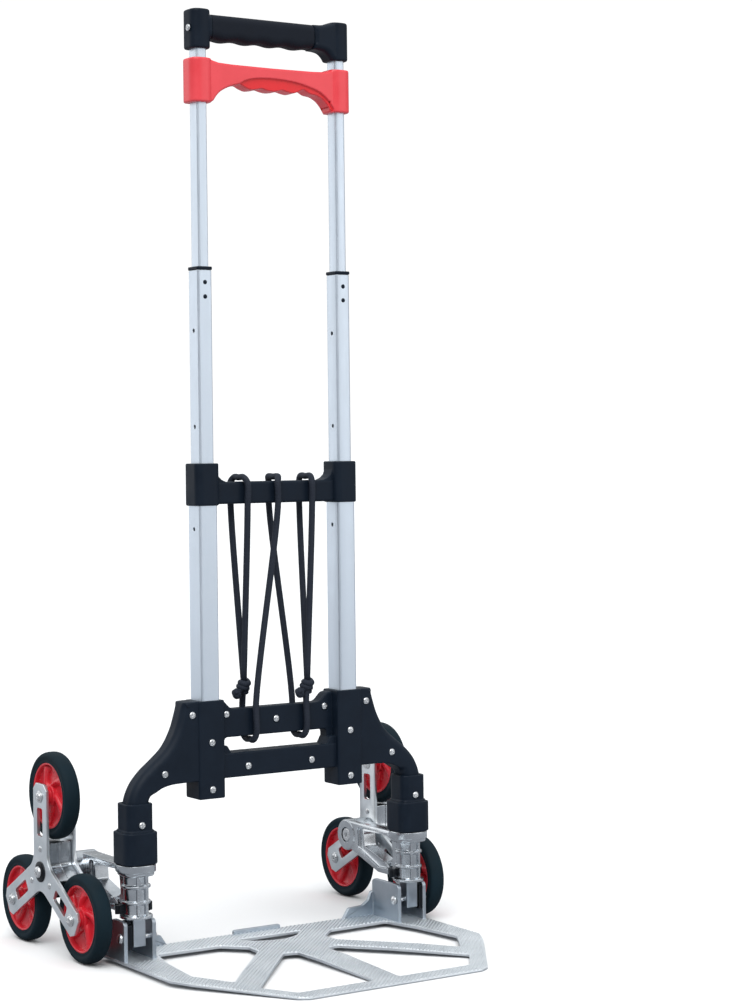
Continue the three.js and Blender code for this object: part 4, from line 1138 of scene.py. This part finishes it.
def make_toe_plate():
    outline = symmetric(
        [(207, REAR_Y), (207, -112), (194, -136), (124, -236), (112, FRONT_Y)],
        [6, 10, 10, 8, 8], 5,
    )
    side_window = rounded(
        [(52, -20), (76, 4), (156, 6), (168, -40), (177, -108), (150, -152), (54, -44)],
        [4, 6, 6, 10, 10, 5, 4], 5,
    )
    front_window = rounded(
        [(20, -74), (36, -70), (138, -184), (112, -219), (17, -219)], [5, 6, 5, 5, 5], 5,
    )
    rear_window = rounded([(-44, 20), (-28, 3), (0, -9), (28, 3), (44, 20)], [3, 6, 10, 6, 3], 5)
    windows = [rear_window]
    for _, s in SIDES:
        windows += [mirrored(side_window, s), mirrored(front_window, s)]

    rib_low = PLATE_TOP - RIB_HEIGHT
    plate = slab("z", outline, PLATE_TOP - PLATE_SHEET, rib_low, 0.6, 2)
    cut(plate, [prism("z", window, -5, 20) for window in windows])
    notch = [(204.8, -48), (210, -48), (210, -56), (204.8, -56)]
    cut(plate, [prism("z", rounded(notch, 1, 3), -5, 20)])

    # Raised ribs run diagonally over the top, short of the edges and of flats below the ears.
    pitch, crest, foot, reach, margin = 4.0, 0.6, 1.4, 520, 2.6
    profile = []
    for k in range(-100, 101):
        middle = pitch * k
        profile += [(middle - foot, 0), (middle - crest, RIB_HEIGHT),
                    (middle + crest, RIB_HEIGHT), (middle + foot, 0)]
    profile += [(profile[-1][0], -1.2), (profile[0][0], -1.2)]
    sheet = prism("y", [(a, rib_low + b) for a, b in profile], -reach, reach)
    sheet.data.transform(Matrix.Rotation(math.radians(-45), 4, "Z"))
    mask = prism("z", inset(*tidy(outline, margin)), 5, 10)
    grown = [prism("z", inset(*tidy(window, -margin)), 0, 20) for window in windows]
    flats = [box(s * POST_X - 24, s * POST_X + 24, -14, 60, 0, 20) for _, s in SIDES]
    cut(mask, [*grown, *flats])
    combine(sheet, [mask], "INTERSECT")
    plate = union([plate, sheet])

    piece(soften(taper(plate)), "toe_plate_deck", "toe", "deck", "toe_plate")

    parts = []
    foot = PLATE_TOP - 1.2
    inside = rounded([(-8, foot), (47, foot), (47, 51.5), (-8, 51.5)], [0, 0, 6, 6], 5)
    outside = rounded(
        [(-8, foot), (47, foot), (47, 12), (20, 51.5), (-8, 51.5)], [0, 0, 4, 6, 6], 5,
    )
    gusset = rounded(
        [(206, foot), (206, 21), (184, 24), (173, 36), (163, 36), (159, 26), (150, 20), (130, 19),
         (122, foot + 0.4), (122, foot)],
        [0, 3, 8, 4, 4, 6, 8, 4, 0, 0], 5,
    )
    for _, s in SIDES:
        for a, b, side_outline in ((165, 170, inside), (201, 206, outside)):
            x0, x1 = sorted((s * a, s * b))
            cheek = slab("x", side_outline, x0, x1, 0.8, 2)
            parts.append(cut(cheek, [rod("x", 0, PIVOT_Z, PIN_HOLE_R, x0 - 1, x1 + 1, 32)]))
        parts.append(slab("y", mirrored(gusset, s), REAR_Y - 5, REAR_Y, 0.8, 2))
    catch = rounded(rectangle(-32, 32, foot, 12), [0, 0, 2.5, 2.5])
    parts.append(slab("y", catch, REAR_Y - 5, REAR_Y, 0.8, 2))
    for part in parts:
        soften(part)
    # The ears' darker look is partly their cast finish and partly painted shade.
    piece(join(parts), "toe_plate_ears", "toe", "ear_dark_cast_and_shade")

    gears = []
    outline = teeth(0, PIVOT_Z, 14, 360 / 14, 0, [(2.8, 20.2), (5, 17.2), (9, 17)])
    for _, s in SIDES:
        x0, x1 = sorted((s * 195.5, s * 200.8))
        gear = slab("x", outline, x0, x1, 0.5, 2)
        cut(gear, [
            rod("x", 0, PIVOT_Z, PIN_HOLE_R, x0 - 1, x1 + 1, 32),
            box(-230, 230, -40, 40, 0, PIVOT_Z - 12),
            box(-230, 230, -40, -8, 0, 80),
        ])
        gears.append(gear)
    piece(soften(join(gears)), "toe_plate_gears", "toe", "dark_steel", slot="aluminium_cast")

    pin = lathe("x", 0, PIVOT_Z, [
        (0, -209.2), (2.8, -209.3), (4.4, -208.6), (5.4, -207.2), (5.6, -206.3), (3, -206.2),
        (3, -164.8), (5.2, -164.7), (5, -163.2), (3.8, -162), (2.4, -161.4), (0, -161.3),
    ], 40)
    pair(soften(pin), "pivot_pin_riveted", "toe", "steel", "pivot_pin_{}")


# --- floor and light
def make_floor():
    reach, level = 60.0, -0.0004
    bm = bmesh.new()
    bm.faces.new([bm.verts.new((x, y, level)) for x, y in rectangle(-reach, reach, -reach, reach)])
    floor = solid(bm, "floor")
    look = Look("floor_paper")
    seen = look.add("LightPath").outputs["Is Camera Ray"]
    paper = look.blend(look.noise(3), (0.9, 0.9, 0.9), (0.92, 0.92, 0.92))
    colour = look.blend(seen, (0.34, 0.35, 0.37), paper)
    look.finish(Base_Color=colour, Roughness=0.95, Specular_IOR_Level=0.0)
    floor.data.materials.append(look.material)


def make_lamp(kind, name, energy, towards, at=(0, 0, 0)):
    data = bpy.data.lights.new(name, kind)
    data.energy = energy
    lamp = placed(data, name)
    lamp.location = at
    lamp.rotation_mode = "QUATERNION"
    lamp.rotation_quaternion = Vector(towards).to_track_quat("-Z", "Y")
    return lamp


def make_light():
    world = bpy.data.worlds.new("studio")
    bpy.context.scene.world = world
    sky = Graph(world)
    sky.nodes.clear()
    split = sky.add("SeparateXYZ", Vector=sky.add("TexCoord").outputs["Generated"])
    rise = sky.add("MapRange", From_Min=-0.05, From_Max=0.65, To_Min=0.2, To_Max=1.00)
    rise.interpolation_type = "SMOOTHSTEP"
    sky.set(rise, Value=split.outputs["Z"])
    soft = sky.add("Background", Color=(0.955, 0.98, 1, 1), Strength=rise.outputs["Result"])
    plain = sky.add("Background", Color=(1, 1, 1, 1), Strength=1.05)
    mix = sky.add("MixShader", Fac=sky.add("LightPath").outputs["Is Camera Ray"])
    sky.fill(mix.inputs[1], soft.outputs[0])
    sky.fill(mix.inputs[2], plain.outputs[0])
    sky.add("OutputWorld", Surface=mix.outputs[0])

    make_lamp("SUN", "key", 1.7, (0.55, 0.75, -1.1)).data.angle = math.radians(45)
    for name, power, size, at, target in (
        ("right_box", 18, (1.6, 2.6), (2.3, -3, 1.2), (0, 0, 0.55)),
        ("left_box", 13, (1.3, 2.4), (-1.7, 2.9, 1.1), (0, 0, 0.5)),
    ):
        lamp = make_lamp("AREA", name, power, Vector(target) - Vector(at), at)
        lamp.data.shape = "RECTANGLE"
        lamp.data.size, lamp.data.size_y = size
        lamp.visible_camera = False
    bpy.context.scene.view_settings.view_transform = "Standard"


# --- the whole trolley
make_camera()
make_cord()
make_columns()
make_clamp()
make_top_handle()
make_release_handle()
make_base()
make_screws()
make_sleeves()
make_arms()
make_stars()
make_wheels()
make_toe_plate()
# Pieces inside the columns keep the CAD's shape.
INNER = {"upper_guide": "black", "middle_guide": "black", "release_rod": "steel"}
for inner, look_name in INNER.items():
    for side_name, _ in SIDES:
        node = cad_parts[f"{inner}_{side_name}"]
        node.data.materials.clear()
        node.data.materials.append(LOOKS[look_name])
make_floor()
make_light()

bpy.context.view_layer.update()
